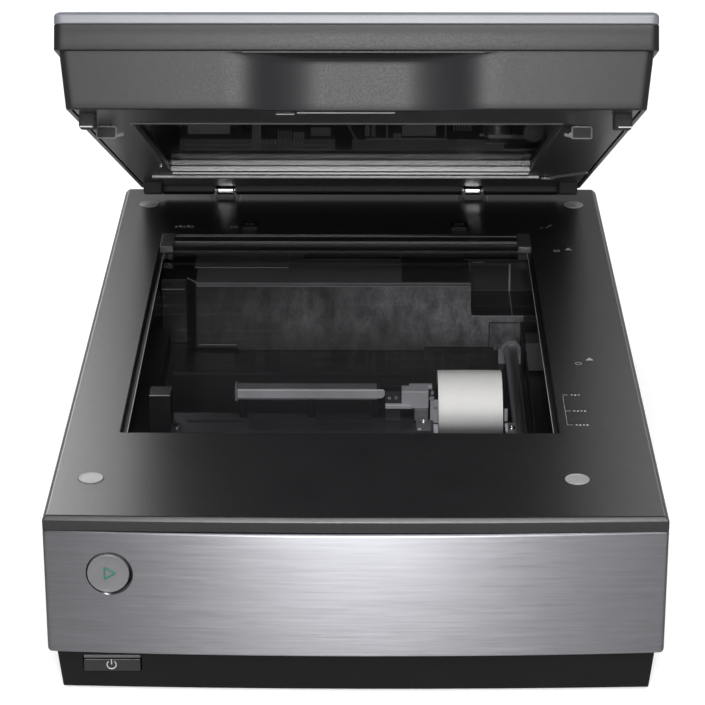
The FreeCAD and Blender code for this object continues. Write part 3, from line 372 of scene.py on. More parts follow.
FINISH = {
    "deck_plastic": moulded((0.0135, 0.0135, 0.0145), 0.31, grain=2200.0, bump=0.18),
    "case_black": moulded((0.006, 0.006, 0.0068), 0.45, grain=1500.0, bump=0.4, gloss=0.16),
    "inner_black": moulded((0.022, 0.022, 0.024), 0.42, grain=900.0, bump=0.3),
    "fascia_silver": brushed((0.205, 0.205, 0.219), 0.376, 0.97),
    "lid_grey": moulded((0.0155, 0.0155, 0.017), 0.33, grain=1300.0, bump=0.5, vary=0.05, gloss=0.17),
    "lid_silver": moulded((0.145, 0.149, 0.17), 0.35, grain=1800.0, bump=0.15, vary=0.04),
    "clear_glass": pane((0.95, 0.95, 0.955), 0.02),
    "lid_window_glass": pane((0.94, 0.94, 0.945), 0.05),
    "gasket_pale": moulded((0.45, 0.45, 0.44), 0.6, grain=900.0),
    "white_strip": moulded((0.8, 0.8, 0.78), 0.55),
    "foot_rubber": moulded((0.02, 0.02, 0.02), 0.85, grain=700.0, bump=0.6),
    "belt_rubber": moulded((0.025, 0.022, 0.02), 0.7, grain=900.0, bump=0.5),
    "steel": metal((0.78, 0.79, 0.8), 0.42, streak=(900.0, 12.0, 900.0)),
    "spring_steel": metal((0.5, 0.5, 0.5), 0.3),
    "hinge_chrome": metal((0.6, 0.6, 0.61), 0.12, streak=(20.0, 900.0, 900.0), bump=0.03,
                          rough_vary=0.03),
    "screw_steel": metal((0.6, 0.6, 0.6), 0.25, streak=(400.0, 400.0, 400.0)),
    "gear_plastic": moulded((0.55, 0.53, 0.47), 0.45),
    "pinion_brass": metal((0.75, 0.55, 0.25), 0.3),
    "motor_metal": metal((0.5, 0.5, 0.52), 0.35, streak=(300.0, 300.0, 900.0)),
    "lamp_grey": moulded((0.25, 0.25, 0.262), 0.4),
    "bracket_grey": moulded((0.26, 0.26, 0.275), 0.42),
    "mirror_glass": metal((0.85, 0.86, 0.88), 0.03, bump=0.01, rough_vary=0.01),
    "lens_black": moulded((0.01, 0.01, 0.011), 0.3),
    "board_green": moulded((0.01, 0.09, 0.035), 0.45, grain=500.0),
    "socket_black": moulded((0.01, 0.01, 0.01), 0.4),
    "ribbon_white": flat_cable(),
    "button_silver": moulded((0.135, 0.135, 0.142), 0.35),
    "button_black": moulded((0.012, 0.012, 0.013), 0.35),
    "light_pale": moulded((0.09, 0.09, 0.095), 0.3),
    "cap_grey": moulded((0.30, 0.30, 0.305), 0.4),
    # This white lamp carriage is painted mid-grey as painted shade for the dark inside of the lid.
    "lamp_white": moulded((0.24, 0.24, 0.245), 0.4),
}


def dress_cad():
    """Every CAD node takes the finish of its material slot."""
    for entry in frame["record"]["subparts"]:
        obj = frame["nodes"][entry["node"]]
        obj.data.materials.clear()
        obj.data.materials.append(FINISH[entry["material_slot"]])


# ---- mesh helpers, in millimetres ----
def add_block(bm, x0, x1, y0, y1, z0, z1):
    made = bmesh.ops.create_cube(bm, size=1.0)["verts"]
    middle = Vector(((x0 + x1) / 2, (y0 + y1) / 2, (z0 + z1) / 2))
    size = Matrix.Diagonal((x1 - x0, y1 - y0, z1 - z0, 1))
    bmesh.ops.transform(bm, matrix=Matrix.Translation(middle) @ size, verts=made)


def add_lathe(bm, profile, start, direction, segments=48):
    """Turn (radius, distance) points about an axis; a profile that ends on the axis closes itself."""
    axis = Vector(direction).normalized()
    across = axis.orthogonal().normalized()
    around = axis.cross(across)
    rings = []
    for radius, along in profile:
        middle = Vector(start) + axis * along
        if radius < 1e-6:
            rings.append([bm.verts.new(middle)])
            continue
        ring = []
        for step in range(segments):
            angle = 2 * math.pi * step / segments
            ring.append(bm.verts.new(middle + radius * (math.cos(angle) * across + math.sin(angle) * around)))
        rings.append(ring)
    for low, high in zip(rings, rings[1:]):
        join_rings(bm, low, high)
    if len(rings[0]) > 1 and len(rings[-1]) > 1:
        join_rings(bm, rings[-1], rings[0])


def join_rings(bm, low, high):
    count = max(len(low), len(high))
    for step in range(count):
        after = (step + 1) % count
        corners = [low[step % len(low)], low[after % len(low)],
                   high[after % len(high)], high[step % len(high)]]
        loop = []
        for corner in corners:
            if corner not in loop:
                loop.append(corner)
        if len(loop) > 2:
            bm.faces.new(loop)


def add_rod(bm, radius, start, end, segments=32, edge=0.0):
    """Round bar between two points, with softened rims."""
    reach = (Vector(end) - Vector(start)).length
    profile = [(0, 0), (radius - edge, 0), (radius, edge),
               (radius, reach - edge), (radius - edge, reach), (0, reach)]
    if edge == 0:
        profile = [(0, 0), (radius, 0), (radius, reach), (0, reach)]
    add_lathe(bm, profile, start, Vector(end) - Vector(start), segments)


def add_tube(bm, outer, inner, start, end, segments=48, edge=0.2):
    reach = (Vector(end) - Vector(start)).length
    profile = [(inner, edge), (inner + edge, 0), (outer - edge, 0), (outer, edge), (outer, reach - edge),
               (outer - edge, reach), (inner + edge, reach), (inner, reach - edge)]
    add_lathe(bm, profile, start, Vector(end) - Vector(start), segments)


def add_prism(bm, outline, low, high, axis="z"):
    """Extrude a flat outline: (x, y) points between two heights, or (y, z) points between two X places."""
    def spot(point, level):
        return Vector((point[0], point[1], level)) if axis == "z" else Vector((level, point[0], point[1]))
    bottom = [bm.verts.new(spot(p, low)) for p in outline]
    top = [bm.verts.new(spot(p, high)) for p in outline]
    bm.faces.new(list(reversed(bottom)))
    bm.faces.new(top)
    join_rings(bm, bottom, top)


def rounded_loop(x0, x1, y0, y1, radius, z, front=1, corner=8):
    """Rectangle with round corners, anticlockwise from the front left; the front edge has extra points."""
    points = [(x0 + radius + (x1 - x0 - 2 * radius) * i / front, y0) for i in range(front + 1)]
    for cx, cy, first in ((x1 - radius, y0 + radius, -90), (x1 - radius, y1 - radius, 0),
                          (x0 + radius, y1 - radius, 90), (x0 + radius, y0 + radius, 180)):
        for step in range(corner + 1):
            if first == -90 and step == 0 or first == 180 and step == corner:
                continue
            angle = math.radians(first + 90 * step / corner)
            points.append((cx + radius * math.cos(angle), cy + radius * math.sin(angle)))
    return [Vector((x, y, z)) for x, y in points]


def add_loft(bm, loops, close=False, cap=True):
    rings = [[bm.verts.new(p) for p in loop] for loop in loops]
    for low, high in zip(rings, rings[1:]):
        join_rings(bm, low, high)
    if close:
        join_rings(bm, rings[-1], rings[0])
    elif cap:
        bm.faces.new(list(reversed(rings[0])))
        bm.faces.new(rings[-1])


def apply_modifiers(obj):
    bpy.context.view_layer.update()
    final = bpy.data.meshes.new_from_object(obj.evaluated_get(bpy.context.evaluated_depsgraph_get()))
    obj.modifiers.clear()
    obj.data = final


def soften(obj, width, segments=2, angle=35.0):
    """Round the hard edges of a piece; width in millimetres."""
    bevel = obj.modifiers.new("edges", "BEVEL")
    bevel.width = width * MM
    bevel.segments = segments
    bevel.limit_method = "ANGLE"
    bevel.angle_limit = math.radians(angle)
    bevel.use_clamp_overlap = False
    bevel.miter_outer = "MITER_ARC"
    apply_modifiers(obj)
    shade(obj)
    even = obj.modifiers.new("flat faces stay flat", "WEIGHTED_NORMAL")
    even.weight = 100
    even.keep_sharp = True
    apply_modifiers(obj)


def shade(obj, angle=35.0):
    obj.data.polygons.foreach_set("use_smooth", [True] * len(obj.data.polygons))
    obj.data.set_sharp_from_angle(angle=math.radians(angle))


def piece(name, bm, place, body, finish, replaces=(), edge=0.0, segments=2, angle=35.0):
    """Turn a drawing into a piece of the visual model."""
    bmesh.ops.recalc_face_normals(bm, faces=bm.faces)
    bm.transform(place)
    mesh = bpy.data.meshes.new(name)
    bm.to_mesh(mesh)
    bm.free()
    obj = bpy.data.objects.new(name, mesh)
    scene.collection.objects.link(obj)
    mesh.materials.append(FINISH[finish] if finish in FINISH else EXTRA[finish][0])
    if edge:
        soften(obj, edge, segments)
    else:
        shade(obj, angle)
    if body:
        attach(obj, body)
    if replaces:
        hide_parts(*replaces)
    return obj


def polished(node, width, segments=2, finish=None):
    """The CAD piece with its moulded or machined edges rounded."""
    source = frame["nodes"][node]
    entry = next(part for part in frame["record"]["subparts"] if part["node"] == node)
    bm = bmesh.new()
    bm.from_mesh(source.data)
    bmesh.ops.remove_doubles(bm, verts=bm.verts, dist=0.002 * MM)
    bmesh.ops.dissolve_limit(bm, angle_limit=math.radians(0.4), verts=bm.verts, edges=bm.edges)
    finish = finish or entry["material_slot"]
    return piece(node + "_finished", bm, Matrix(), source["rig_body"], finish, (node,), width, segments)


# ---- lid ----
LID_HALF, LID_FRONT, LID_REAR = 148.0, 30.0, 496.0
LID_BOTTOM, LID_STEP, LID_SPLIT, LID_TOP = 104.6, 132.9, 145.8, 152.0
RECESS_X, RECESS_FLAT, RECESS_RAMP, RECESS_DEPTH = 3.0, 18.0, 54.0, 8.0


def ease(t, steepest=0.46):
    """0 to 1 with a slope that starts gently, peaks at the steepest place and then dies away."""
    t = min(1.0, max(0.0, t))
    peak = 1 / (steepest / 3 + (1 - steepest) / 2)
    if t < steepest:
        return peak * t ** 3 / (3 * steepest ** 2)
    return peak * (steepest / 3 + ((1 - steepest) ** 2 - (1 - t) ** 2) / (2 * (1 - steepest)))


def recess_depth(x, z):
    """How far the finger recess goes in: flat in the middle, smooth ramps, rounded under the step."""
    across = ease((RECESS_FLAT + RECESS_RAMP - abs(x - RECESS_X)) / RECESS_RAMP)
    fillet = 3.4
    up = min(1.0, max(0.0, (z - (LID_STEP - 0.8 - fillet)) / fillet))
    return RECESS_DEPTH * across * math.sqrt(max(0.0, 1 - up * up))


def lid_band(z, inset, recess=True):
    """Loop round the tapered lower band at one height."""
    t = (z - LID_BOTTOM) / (LID_STEP - LID_BOTTOM)
    half = 142.5 + 3.2 * t - inset
    front, back = 35.6 - 3.1 * t + inset, 481.0 + 12.5 * t - inset
    loop = rounded_loop(-half, half, front, back, max(0.8, 3.4 - inset), z, front=180)
    if recess:
        for p in loop:
            if p.y < front + 0.01:
                p.y += recess_depth(p.x, z)
    return loop


def lid_rim(z, inset):
    return rounded_loop(-LID_HALF + inset, LID_HALF - inset, LID_FRONT + inset, LID_REAR - inset,
                        max(0.8, 3.4 - inset), z, front=180)


def make_lid_shell():
    bm = bmesh.new()
    loops = []
    round_r = 0.8
    for step in range(5):
        angle = math.radians(90 * step / 4)
        loops.append(lid_band(LID_BOTTOM + round_r * (1 - math.cos(angle)), round_r * (1 - math.sin(angle))))
    heights = [109.0, 114.0, 119.0, 124.0, 127.0]
    heights += [LID_STEP - 4.2 + 3.4 * math.sin(math.radians(90 * step / 8)) for step in range(9)]
    loops += [lid_band(z, 0.0) for z in heights]
    loops.append(lid_band(LID_STEP, 0.0, recess=False))
    loops += [lid_rim(LID_STEP, 0.7), lid_rim(LID_STEP + 0.2, 0.2), lid_rim(LID_STEP + 0.7, 0.0)]
    loops += [lid_rim(140.0, 0.0), lid_rim(LID_SPLIT - 0.5, 0.0), lid_rim(LID_SPLIT - 0.15, 0.15)]
    loops += [lid_rim(LID_SPLIT, 0.5), lid_rim(LID_SPLIT, 7.0), lid_rim(LID_STEP - 0.9, 7.0)]
    loops += [lid_band(LID_STEP - 1.0, 5.0, recess=False), lid_band(LID_STEP - 5.0, 2.5)]
    loops += [lid_band(z, 2.5) for z in (124.0, 114.0, LID_BOTTOM)]
    add_loft(bm, loops, close=True)
    piece("lid_shell", bm, LID, "lid", "lid_grey", ("lid_case",), angle=40)
    bm = bmesh.new()
    hinge_y, hinge_z, ridge_r, pocket = 477.8, 103.0, 2.9, 7.2
    ends = [-128.0]
    for x in hinge_spots():
        ends += [x - pocket, x + pocket]
    ends.append(128.0)
    for x0, x1 in zip(ends[::2], ends[1::2]):
        add_rod(bm, ridge_r, (x0, hinge_y, hinge_z), (x1, hinge_y, hinge_z), 40, 0.4)
        add_block(bm, x0 + 0.05, x1 - 0.05, hinge_y - ridge_r, hinge_y + 3.2, hinge_z, LID_BOTTOM + 3.0)
    piece("lid_ridge", bm, LID, "lid", "case_black", angle=40)


def hinge_spots():
    """X places of the two hinges, from the barrels."""
    points = [BASE.inverted() @ v.co for v in frame["nodes"]["hinge_barrels"].data.vertices]
    left = [p.x for p in points if p.x < 0]
    right = [p.x for p in points if p.x > 0]
    return [(min(side) + max(side)) / 2 for side in (left, right)]


def make_lid_cap():
    """Silver top panel with a rounded rim and a shadow gap above the case."""
    bm = bmesh.new()
    edge_r = 2.6
    loops = [lid_rim(LID_SPLIT, 8.0), lid_rim(LID_SPLIT, 0.7), lid_rim(LID_SPLIT + 0.35, 0.25),
             lid_rim(LID_SPLIT + 0.6, 0.05), lid_rim(LID_TOP - edge_r, 0.0)]
    for step in range(1, 7):
        angle = math.radians(15 * step)
        loops.append(lid_rim(LID_TOP - edge_r + edge_r * math.sin(angle), edge_r * (1 - math.cos(angle))))
    loops.append(lid_rim(LID_TOP, 6.0))
    add_loft(bm, loops)
    piece("lid_cap", bm, LID, "lid", "lid_silver", ("lid_top_panel",))


# ---- front ----
FASCIA_LOW, FASCIA_HIGH, FASCIA_BOW = 22.7, 89.5, 5.0
HALF_WIDTH = 154.0


def bow(x, depth):
    """Front line of a panel that bows out by an arc."""
    radius = (HALF_WIDTH ** 2 + depth ** 2) / (2 * depth)
    return radius - depth - math.sqrt(radius ** 2 - x ** 2)


def make_front_panel():
    bm = bmesh.new()
    rim, corner = 0.9, 2.2
    loops = []
    columns = 140
    for column in range(columns + 1):
        x = -HALF_WIDTH * math.cos(math.pi * column / columns)
        front = bow(x, FASCIA_BOW) + 0.6 * max(0.0, abs(x) - HALF_WIDTH + 1.0) ** 2
        past = max(0.0, abs(x) - HALF_WIDTH + corner)
        low = FASCIA_LOW + corner - math.sqrt(max(0.0, corner ** 2 - past ** 2))
        side = [(3.0, FASCIA_HIGH), (3.0, low)]
        for step in range(5):
            angle = math.radians(22.5 * step)
            side.append((front + rim * (1 - math.sin(angle)), low + rim * (1 - math.cos(angle))))
        for step in range(5):
            angle = math.radians(22.5 * step)
            side.append((front + rim * (1 - math.cos(angle)), FASCIA_HIGH - rim * (1 - math.sin(angle))))
        loops.append([Vector((x, y, z)) for y, z in side])
    add_loft(bm, loops)
    panel = piece("front_panel", bm, BASE, None, "fascia_silver", ("front_fascia",), angle=30)
    x0, x1, _, _, z0, z1 = drawn("start_button")
    hole_r = (x1 - x0) / 2 + 0.75
    cutter = bmesh.new()
    flare = 0.6
    front = bow((x0 + x1) / 2, FASCIA_BOW)
    profile = [(0, 0), (hole_r + flare + 2.0, 0), (hole_r + flare, 2.0), (hole_r, 2.0 + flare),
               (hole_r, 12.0), (0, 12.0)]
    add_lathe(cutter, profile, ((x0 + x1) / 2, front - 2.0, (z0 + z1) / 2), (0, 1, 0), 96)
    tool = bpy.data.meshes.new("cutter")
    bmesh.ops.recalc_face_normals(cutter, faces=cutter.faces)
    cutter.transform(BASE)
    cutter.to_mesh(tool)
    cutter.free()
    cutting = bpy.data.objects.new("cutter", tool)
    scene.collection.objects.link(cutting)
    cut = panel.modifiers.new("hole", "BOOLEAN")
    cut.operation = "DIFFERENCE"
    cut.solver = "EXACT"
    cut.object = cutting
    apply_modifiers(panel)
    bpy.data.objects.remove(cutting)
    flat_uv(panel)
    shade(panel, 30)
    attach(panel, "base")


def flat_uv(obj):
    """UVs along Z and X in metres: highlights stretch along U, across the brushing."""
    layer = obj.data.uv_layers.new(name="brushing")
    for loop in obj.data.loops:
        point = obj.data.vertices[loop.vertex_index].co
        layer.data[loop.index].uv = (point.z, point.x)


def make_start_key():
    x0, x1, y0, y1, z0, z1 = drawn("start_button")
    middle, height, radius = (x0 + x1) / 2, (z0 + z1) / 2, (x1 - x0) / 2
    bm = bmesh.new()
    shares = (0.0, 0.15, 0.3, 0.45, 0.6, 0.72, 0.82, 0.9)
    dish = [(radius * t, 1.0 - 0.9 * t ** 4 * 0.75 - 0.25 * t ** 2) for t in shares]
    profile = dish + [(radius - 0.55, 0.1), (radius - 0.25, 0.18), (radius - 0.05, 0.45), (radius, 0.8),
                      (radius, 5.0), (2.0, 5.0), (2.0, y1 - y0 - 0.2), (0, y1 - y0 - 0.2)]
    add_lathe(bm, profile, (middle, y0, height), (0, 1, 0), 96)
    piece("start_key", bm, BASE, "start_button", "button_silver", ("start_button",), angle=50)
    mark = bmesh.new()
    reach, wide = 3.2, 0.75
    corners = [Vector((middle + reach * 1.15 * math.cos(a), y0 + 0.9, height + reach * 1.15 * math.sin(a)))
               for a in (0.0, 2 * math.pi / 3, 4 * math.pi / 3)]
    for start, end in zip(corners, corners[1:] + corners[:1]):
        add_rod(mark, wide / 2, start, end, 12)
    piece("start_mark", mark, BASE, "start_button", "mark_green")


def make_power_key():
    x0, x1, y0, y1, z0, z1 = drawn("power_button")
    bm = bmesh.new()
    add_block(bm, x0, x1, y0, y0 + 4.1, z0, z1)
    add_block(bm, -124.0, -121.0, y0 + 4.0, y1, 13.0, 16.0)
    piece("power_key", bm, BASE, "power_button", "button_black", ("power_button",), edge=0.6, segments=3)
    mark = bmesh.new()
    cx, cz, radius = (x0 + x1) / 2 - 0.3, (z0 + z1) / 2 + 0.3, 2.3
    gap = math.radians(38)
    steps = 28
    spots = []
    for step in range(steps + 1):
        angle = math.pi / 2 + gap + (2 * math.pi - 2 * gap) * step / steps
        spots.append(Vector((cx + radius * math.cos(angle), y0 - 0.02, cz + radius * math.sin(angle))))
    for start, end in zip(spots, spots[1:]):
        add_rod(mark, 0.3, start, end, 8)
    add_rod(mark, 0.3, (cx, y0 - 0.02, cz + 0.2), (cx, y0 - 0.02, cz + 3.0), 8)
    piece("power_mark", mark, BASE, "power_button", "mark_white")


# ---- hinges ----
def make_hinge_barrels():
    bm = bmesh.new()
    _, _, y0, y1, z0, z1 = drawn("hinge_barrels")
    radius, cy, cz = (y1 - y0) / 2, (y0 + y1) / 2, (z0 + z1) / 2
    for x in hinge_spots():
        half = 5.6
        profile = [(1.55, 0.3), (1.9, 0.0), (radius - 0.6, 0.0), (radius - 0.1, 0.4), (radius, 0.9),
                   (radius, 1.5), (radius - 0.22, 1.65), (radius - 0.22, 1.9), (radius, 2.05)]
        far = [(r, 2 * half - d) for r, d in reversed(profile)]
        add_lathe(bm, profile + far, (x - half, cy, cz), (1, 0, 0), 64)
    piece("hinge_barrels_turned", bm, BASE, "hinge_posts", "hinge_chrome", ("hinge_barrels",), angle=40)
    pins = bmesh.new()
    for x in hinge_spots():
        for side in (-1, 1):
            start = Vector((x + side * 5.7, cy, cz))
            profile = [(0, 0), (1.5, 0), (1.5, 1.0), (1.25, 1.35), (0.7, 1.55), (0, 1.6)]
            add_lathe(pins, profile, start, (side, 0, 0), 24)
            add_rod(pins, 1.45, start + Vector((side * 1.5, 0, 0)), start + Vector((side * 8.2, 0, 0)), 24)
    piece("hinge_pins_turned", pins, LID, "lid", "steel", ("lid_hinge_pins",), angle=40)


# ---- ribbon ----
def make_ribbon():
    """White flat cable with an even arch; its lower end lies under the channel."""
    x0, x1 = drawn("ribbon_cable")[:2]
    arch_y, arch_z, arch_r, front_low = 218.0, 50.0, 32.0, 34.8
    back_y, end_y, floor_z = arch_y + arch_r, 414.0, 16.5
    path = [(arch_y - arch_r, front_low + (arch_z - front_low) * i / 6) for i in range(6)]
    turns = 56
    for step in range(turns + 1):
        angle = math.pi - math.pi * step / turns
        path.append((arch_y + arch_r * math.cos(angle), arch_z + arch_r * math.sin(angle)))
    path += [(back_y, arch_z - (arch_z - floor_z) * i / 8) for i in range(1, 8)]
    bend = 1.5
    path += [(back_y + bend * (1 - math.cos(math.radians(a))),
              floor_z + bend * (1 - math.sin(math.radians(a)))) for a in (0, 30, 60, 90)]
    path += [(back_y + bend + (end_y - back_y - bend) * i / 10, floor_z) for i in range(1, 11)]
    bm = bmesh.new()
    columns = 36
    thick = 0.4
    sides = []
    for offset in (-thick / 2, thick / 2):
        rows = []
        for i, (y, z) in enumerate(path):
            before, after = path[max(0, i - 1)], path[min(len(path) - 1, i + 1)]
            along = Vector((0, after[0] - before[0], after[1] - before[1])).normalized()
            out = Vector((0, -along.z, along.y))
            row = []
            for column in range(columns + 1):
                x = x0 + (x1 - x0) * column / columns
                crown = 0.12 * math.cos(math.pi * (column / columns - 0.5))
                row.append(bm.verts.new(Vector((x, y, z)) + out * (offset + crown)))
            rows.append(row)
        sides.append(rows)
    for rows in sides:
        for low, high in zip(rows, rows[1:]):
            for column in range(columns):
                bm.faces.new([low[column], low[column + 1], high[column + 1], high[column]])
    inner, outer = sides
    for column in (0, columns):
        for i in range(len(path) - 1):
            bm.faces.new([inner[i][column], inner[i + 1][column], outer[i + 1][column], outer[i][column]])
    for i in (0, len(path) - 1):
        for column in range(columns):
            bm.faces.new([inner[i][column], inner[i][column + 1], outer[i][column + 1], outer[i][column]])
    ribbon = piece("ribbon_flat_cable", bm, BASE, None, "ribbon_white", ("ribbon_cable",), angle=60)
    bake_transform(ribbon)


def add_bar(bm, start, end, wide, high, up=(0, 0, 1)):
    """Straight bar with a rectangular section; high is measured along up."""
    start, end = Vector(start), Vector(end)
    along = (end - start).normalized()
    side = along.cross(Vector(up)).normalized()
    rise = side.cross(along) * high / 2
    side = side * wide / 2
    rings = []
    for spot in (start, end):
        corners = ((-1, -1), (1, -1), (1, 1), (-1, 1))
        rings.append([bm.verts.new(spot + a * side + b * rise) for a, b in corners])
    bm.faces.new(list(reversed(rings[0])))
    bm.faces.new(rings[1])
    join_rings(bm, rings[0], rings[1])


def blocks(name, boxes, place, body, finish, replaces=(), edge=0.3, segments=2):
    bm = bmesh.new()
    for box in boxes:
        add_block(bm, *box)
    return piece(name, bm, place, body, finish, replaces, edge, segments)


def bars(name, lines, place, body, finish):
    """Thin moulded edges and ribs: (start, end, wide, high) each."""
    bm = bmesh.new()
    for start, end, wide, high in lines:
        upright = abs(start[2] - end[2]) > abs(start[0] - end[0]) + abs(start[1] - end[1])
        add_bar(bm, start, end, wide, high, (0, 1, 0) if upright else (0, 0, 1))
    return piece(name, bm, place, body, finish)


# ---- scan opening ----
def make_gasket():
    """Black border of the glass with a thin pale line along both sides."""
    x0, x1, y0, y1 = drawn("glass_gasket")[:4]
    bm = bmesh.new()
    frame_loops = []
    for grow, z in ((0.0, 90.4), (0.0, 91.2), (7.6, 91.2), (7.6, 90.4)):
        frame_loops.append(rounded_loop(x0 + grow, x1 - grow, y0 + grow, y1 - grow, 0.6, z))
    add_loft(bm, frame_loops, close=True)
    piece("gasket_frame", bm, BASE, "base", "dark_inner", ("glass_gasket",))
    border = []
    for a, b, c, d in ((-124.6, -121.3, 101, 409), (103.8, 107.1, 101, 409), (-121.4, 103.9, 406.5, 409)):
        border.append((a, b, c, d, 94.31, 94.37))
    blocks("glass_border", border, BASE, "base", "dark_inner", edge=0)
    bars("glass_edge_lines", [((-121.1, 102, 94.4), (-121.1, 384, 94.4), 0.28, 0.12),
                              ((103.6, 102, 94.4), (103.6, 384, 94.4), 0.28, 0.12)],
         BASE, "base", "line_pale")


def make_rear_bar():
    """Bar across the back of the glass, with its two ridges and end blocks; the light ridges are painted
    highlights.
    """
    polished("rear_glass_bar", 0.3)
    blocks("bar_end_caps", [(-123.6, -115.4, 382.8, 407.6, 94.4, 98.7),
                            (97.9, 106.1, 382.8, 407.6, 94.4, 98.7)],
           BASE, "base", "bar_satin", edge=0.5)
    blocks("rear_bar_shadow", [(-115.6, 98.1, 382.6, 384.8, 94.4, 96.3)], BASE, "base", "dark_inner", edge=0)
    # The light ridges are painted highlights on the bar's step edges and on its end blocks.
    bars("rear_bar_ridges", [((-120, 405.2, 97.35), (103, 405.2, 97.35), 0.7, 0.3),
                             ((-120, 395.9, 97.25), (103, 395.9, 97.25), 0.3, 0.2),
                             ((-121.9, 383.2, 98.3), (-116.4, 383.2, 98.3), 0.5, 0.5),
                             ((98.9, 383.2, 98.3), (105.2, 383.2, 98.3), 0.5, 0.5)],
         BASE, "base", "edge_grey")


CAP_SPOTS = (-134.0, 44.7), (111.6, 44.3), (-136.5, 465.5), (137.5, 464.7)


def make_caps():
    bm = bmesh.new()
    for x, y in CAP_SPOTS:
        profile = [(0, 0.32), (5.2, 0.34), (5.55, 0.58), (5.9, 0.6), (6.2, 0.45), (6.3, 0.15), (6.3, 0.0)]
        add_lathe(bm, [(0, 0)] + profile[::-1], (x, y, 97.5), (0, 0, 1), 64)
    piece("deck_caps_turned", bm, BASE, "base", "cap_grey", ("deck_caps",), angle=22)
    rings = bmesh.new()
    for x, y in CAP_SPOTS:
        add_tube(rings, 6.75, 6.32, (x, y, 97.46), (x, y, 97.54), 64, 0.01)
    piece("deck_cap_gaps", rings, BASE, "base", "dark_inner")


def make_deck_marks():
    """Plain printed guide marks beside the glass: pointers, rings and size ticks."""
    bm = bmesh.new()
    z0, z1 = 97.5, 97.56
    for x, y, size in ((129.2, 382.0, 2.6), (129.6, 203.6, 2.8)):
        add_prism(bm, [(x - size, y - 1.4), (x + size * 0.6, y - 1.6), (x - size * 0.1, y + 2.6)], z0, z1)
    for x, y in ((121.5, 379.0), (122.5, 197.5)):
        add_tube(bm, 1.9, 1.5, (x, y, z0), (x, y, z1), 32, 0.01)
    for x, y in ((117.7, 152.9), (118.9, 131.2), (120.8, 112.7)):
        add_block(bm, 111.0, 114.0, y - 0.1, y + 0.1, z0, z1)
    for y, ticks in ((152.9, 3), (131.2, 4), (112.7, 4)):
        for step in range(ticks):
            x = 115.4 + 1.9 * step
            add_block(bm, x, x + 1.0, y - 0.5 - 0.4 * (step % 2), y + 0.6, z0, z1)
    add_block(bm, 110.92, 111.08, 112.7, 152.9, z0, z1)
    for x, y in ((113.4, 420.0), (117.2, 421.6), (119.3, 424.6)):
        add_bar(bm, (x, y, z1), (x + 1.9, y + 2.2, z1), 0.35, 0.05)
    for step in range(5):
        x = -116.6 + 2.5 * step
        add_block(bm, x, x + 1.3, 421.6, 423.3 + 1.6 * (step % 2), z0, z1)
    for step in range(3):
        x = -81.8 + 1.9 * step
        add_block(bm, x, x + 1.0, 421.2, 422.9, z0, z1)
    piece("deck_marks", bm, BASE, "base", "mark_white")


# ---- inside the base ----
def make_cover_details():
    """Ribs, lips and panels of the electronics cover; pale bars are painted highlights, dark bars painted
    shadow.
    """
    polished("board_cover", 0.45)
    blocks("wall_skin", [(-103.4, 104.0, 415.8, 416.6, 18.6, 39.6), (-103.4, 70.4, 415.8, 416.6, 39.6, 59.4),
                         (-78.0, 41.0, 415.8, 416.6, 16.2, 18.6), (85.0, 104.0, 415.8, 416.6, 16.2, 18.6)],
           BASE, "base", "cover_mottled", edge=0)
    blocks("shelf_top", [(-104.4, 70.4, 418.2, 484.0, 59.8, 61.3), (-106.6, -46.5, 445, 478, 61.0, 61.9)],
           BASE, "base", "shelf_satin")
    blocks("shelf_shade", [(-37.1, 25.7, 461, 480, 61.2, 61.5), (26.5, 70.0, 419.5, 482, 61.2, 61.4)],
           BASE, "base", "shelf_dark", edge=0.1)
    # Pale bars painted as highlights along the lit edges of the lips, the ledge and its rib.
    bars("cover_edge_highlights", [
        ((-103.5, 416.7, 59.7), (70.0, 416.7, 59.7), 0.5, 0.5),
        ((-103.5, 416.7, 55.2), (70.0, 416.7, 55.2), 0.5, 0.35),
        ((-46.4, 445, 61.8), (-46.4, 478, 61.8), 0.4, 0.3),
        ((-125.0, 402.6, 62.8), (-110.4, 402.6, 62.8), 0.4, 0.4),
        ((-103.0, 415.7, 19.8), (-79.0, 415.7, 19.8), 0.3, 0.35),
        ((71.0, 415.7, 39.8), (104.0, 415.7, 39.8), 0.5, 0.6),
        ((70.9, 416.4, 40.2), (70.9, 459.5, 40.2), 0.4, 0.4),
        ((71.0, 459.6, 41.0), (71.0, 459.6, 59.6), 0.4, 0.5),
        ((96.9, 459.2, 40.2), (96.9, 459.2, 59.0), 1.2, 0.9),
        ((96.9, 417.0, 40.2), (96.9, 459.0, 40.2), 0.5, 0.3),
    ], BASE, "base", "painted_edge_highlight")
    # Pale bars painted as glints on a chamfered corner and on the ledge's top edge.
    bars("cover_glints", [((-110.2, 426.0, 61.6), (-103.9, 418.0, 61.6), 0.9, 0.5),
                          ((72.5, 459.4, 60.2), (80.0, 459.4, 60.2), 0.8, 0.3)], BASE, "base", "line_pale")
    bars("cover_shadow_lines", [
        ((-103.5, 416.6, 57.4), (70.0, 416.6, 57.4), 0.3, 3.2),
        ((82.3, 415.8, 35.2), (103.0, 415.8, 35.2), 0.3, 0.6),
        ((82.4, 415.8, 16.4), (82.4, 415.8, 35.0), 0.6, 0.3),
        ((-108.6, 416.2, 22.6), (-109.2, 416.2, 59.6), 0.8, 0.3),
    ], BASE, "base", "dark_inner")
    blocks("snout_cap", [(103.8, 115.6, 377.3, 396.0, 30.8, 36.6), (104.4, 106.2, 377.3, 378.2, 17.0, 31.0),
                         (106.0, 115.2, 377.4, 378.2, 18.0, 31.0)], BASE, "base", "lamp_dim", edge=0.4)
    blocks("vent_screen", [(20, 140, 493.2, 493.8, 28, 62)], BASE, "base", "dark_inner", edge=0)


def make_shaft_end():
    """Bushing face round the rear end of the guide shaft."""
    bm = bmesh.new()
    add_tube(bm, 5.9, 4.15, (95, 390.9, 26), (95, 391.9, 26), 64, 0.3)
    piece("shaft_bushing", bm, BASE, "base", "edge_grey")


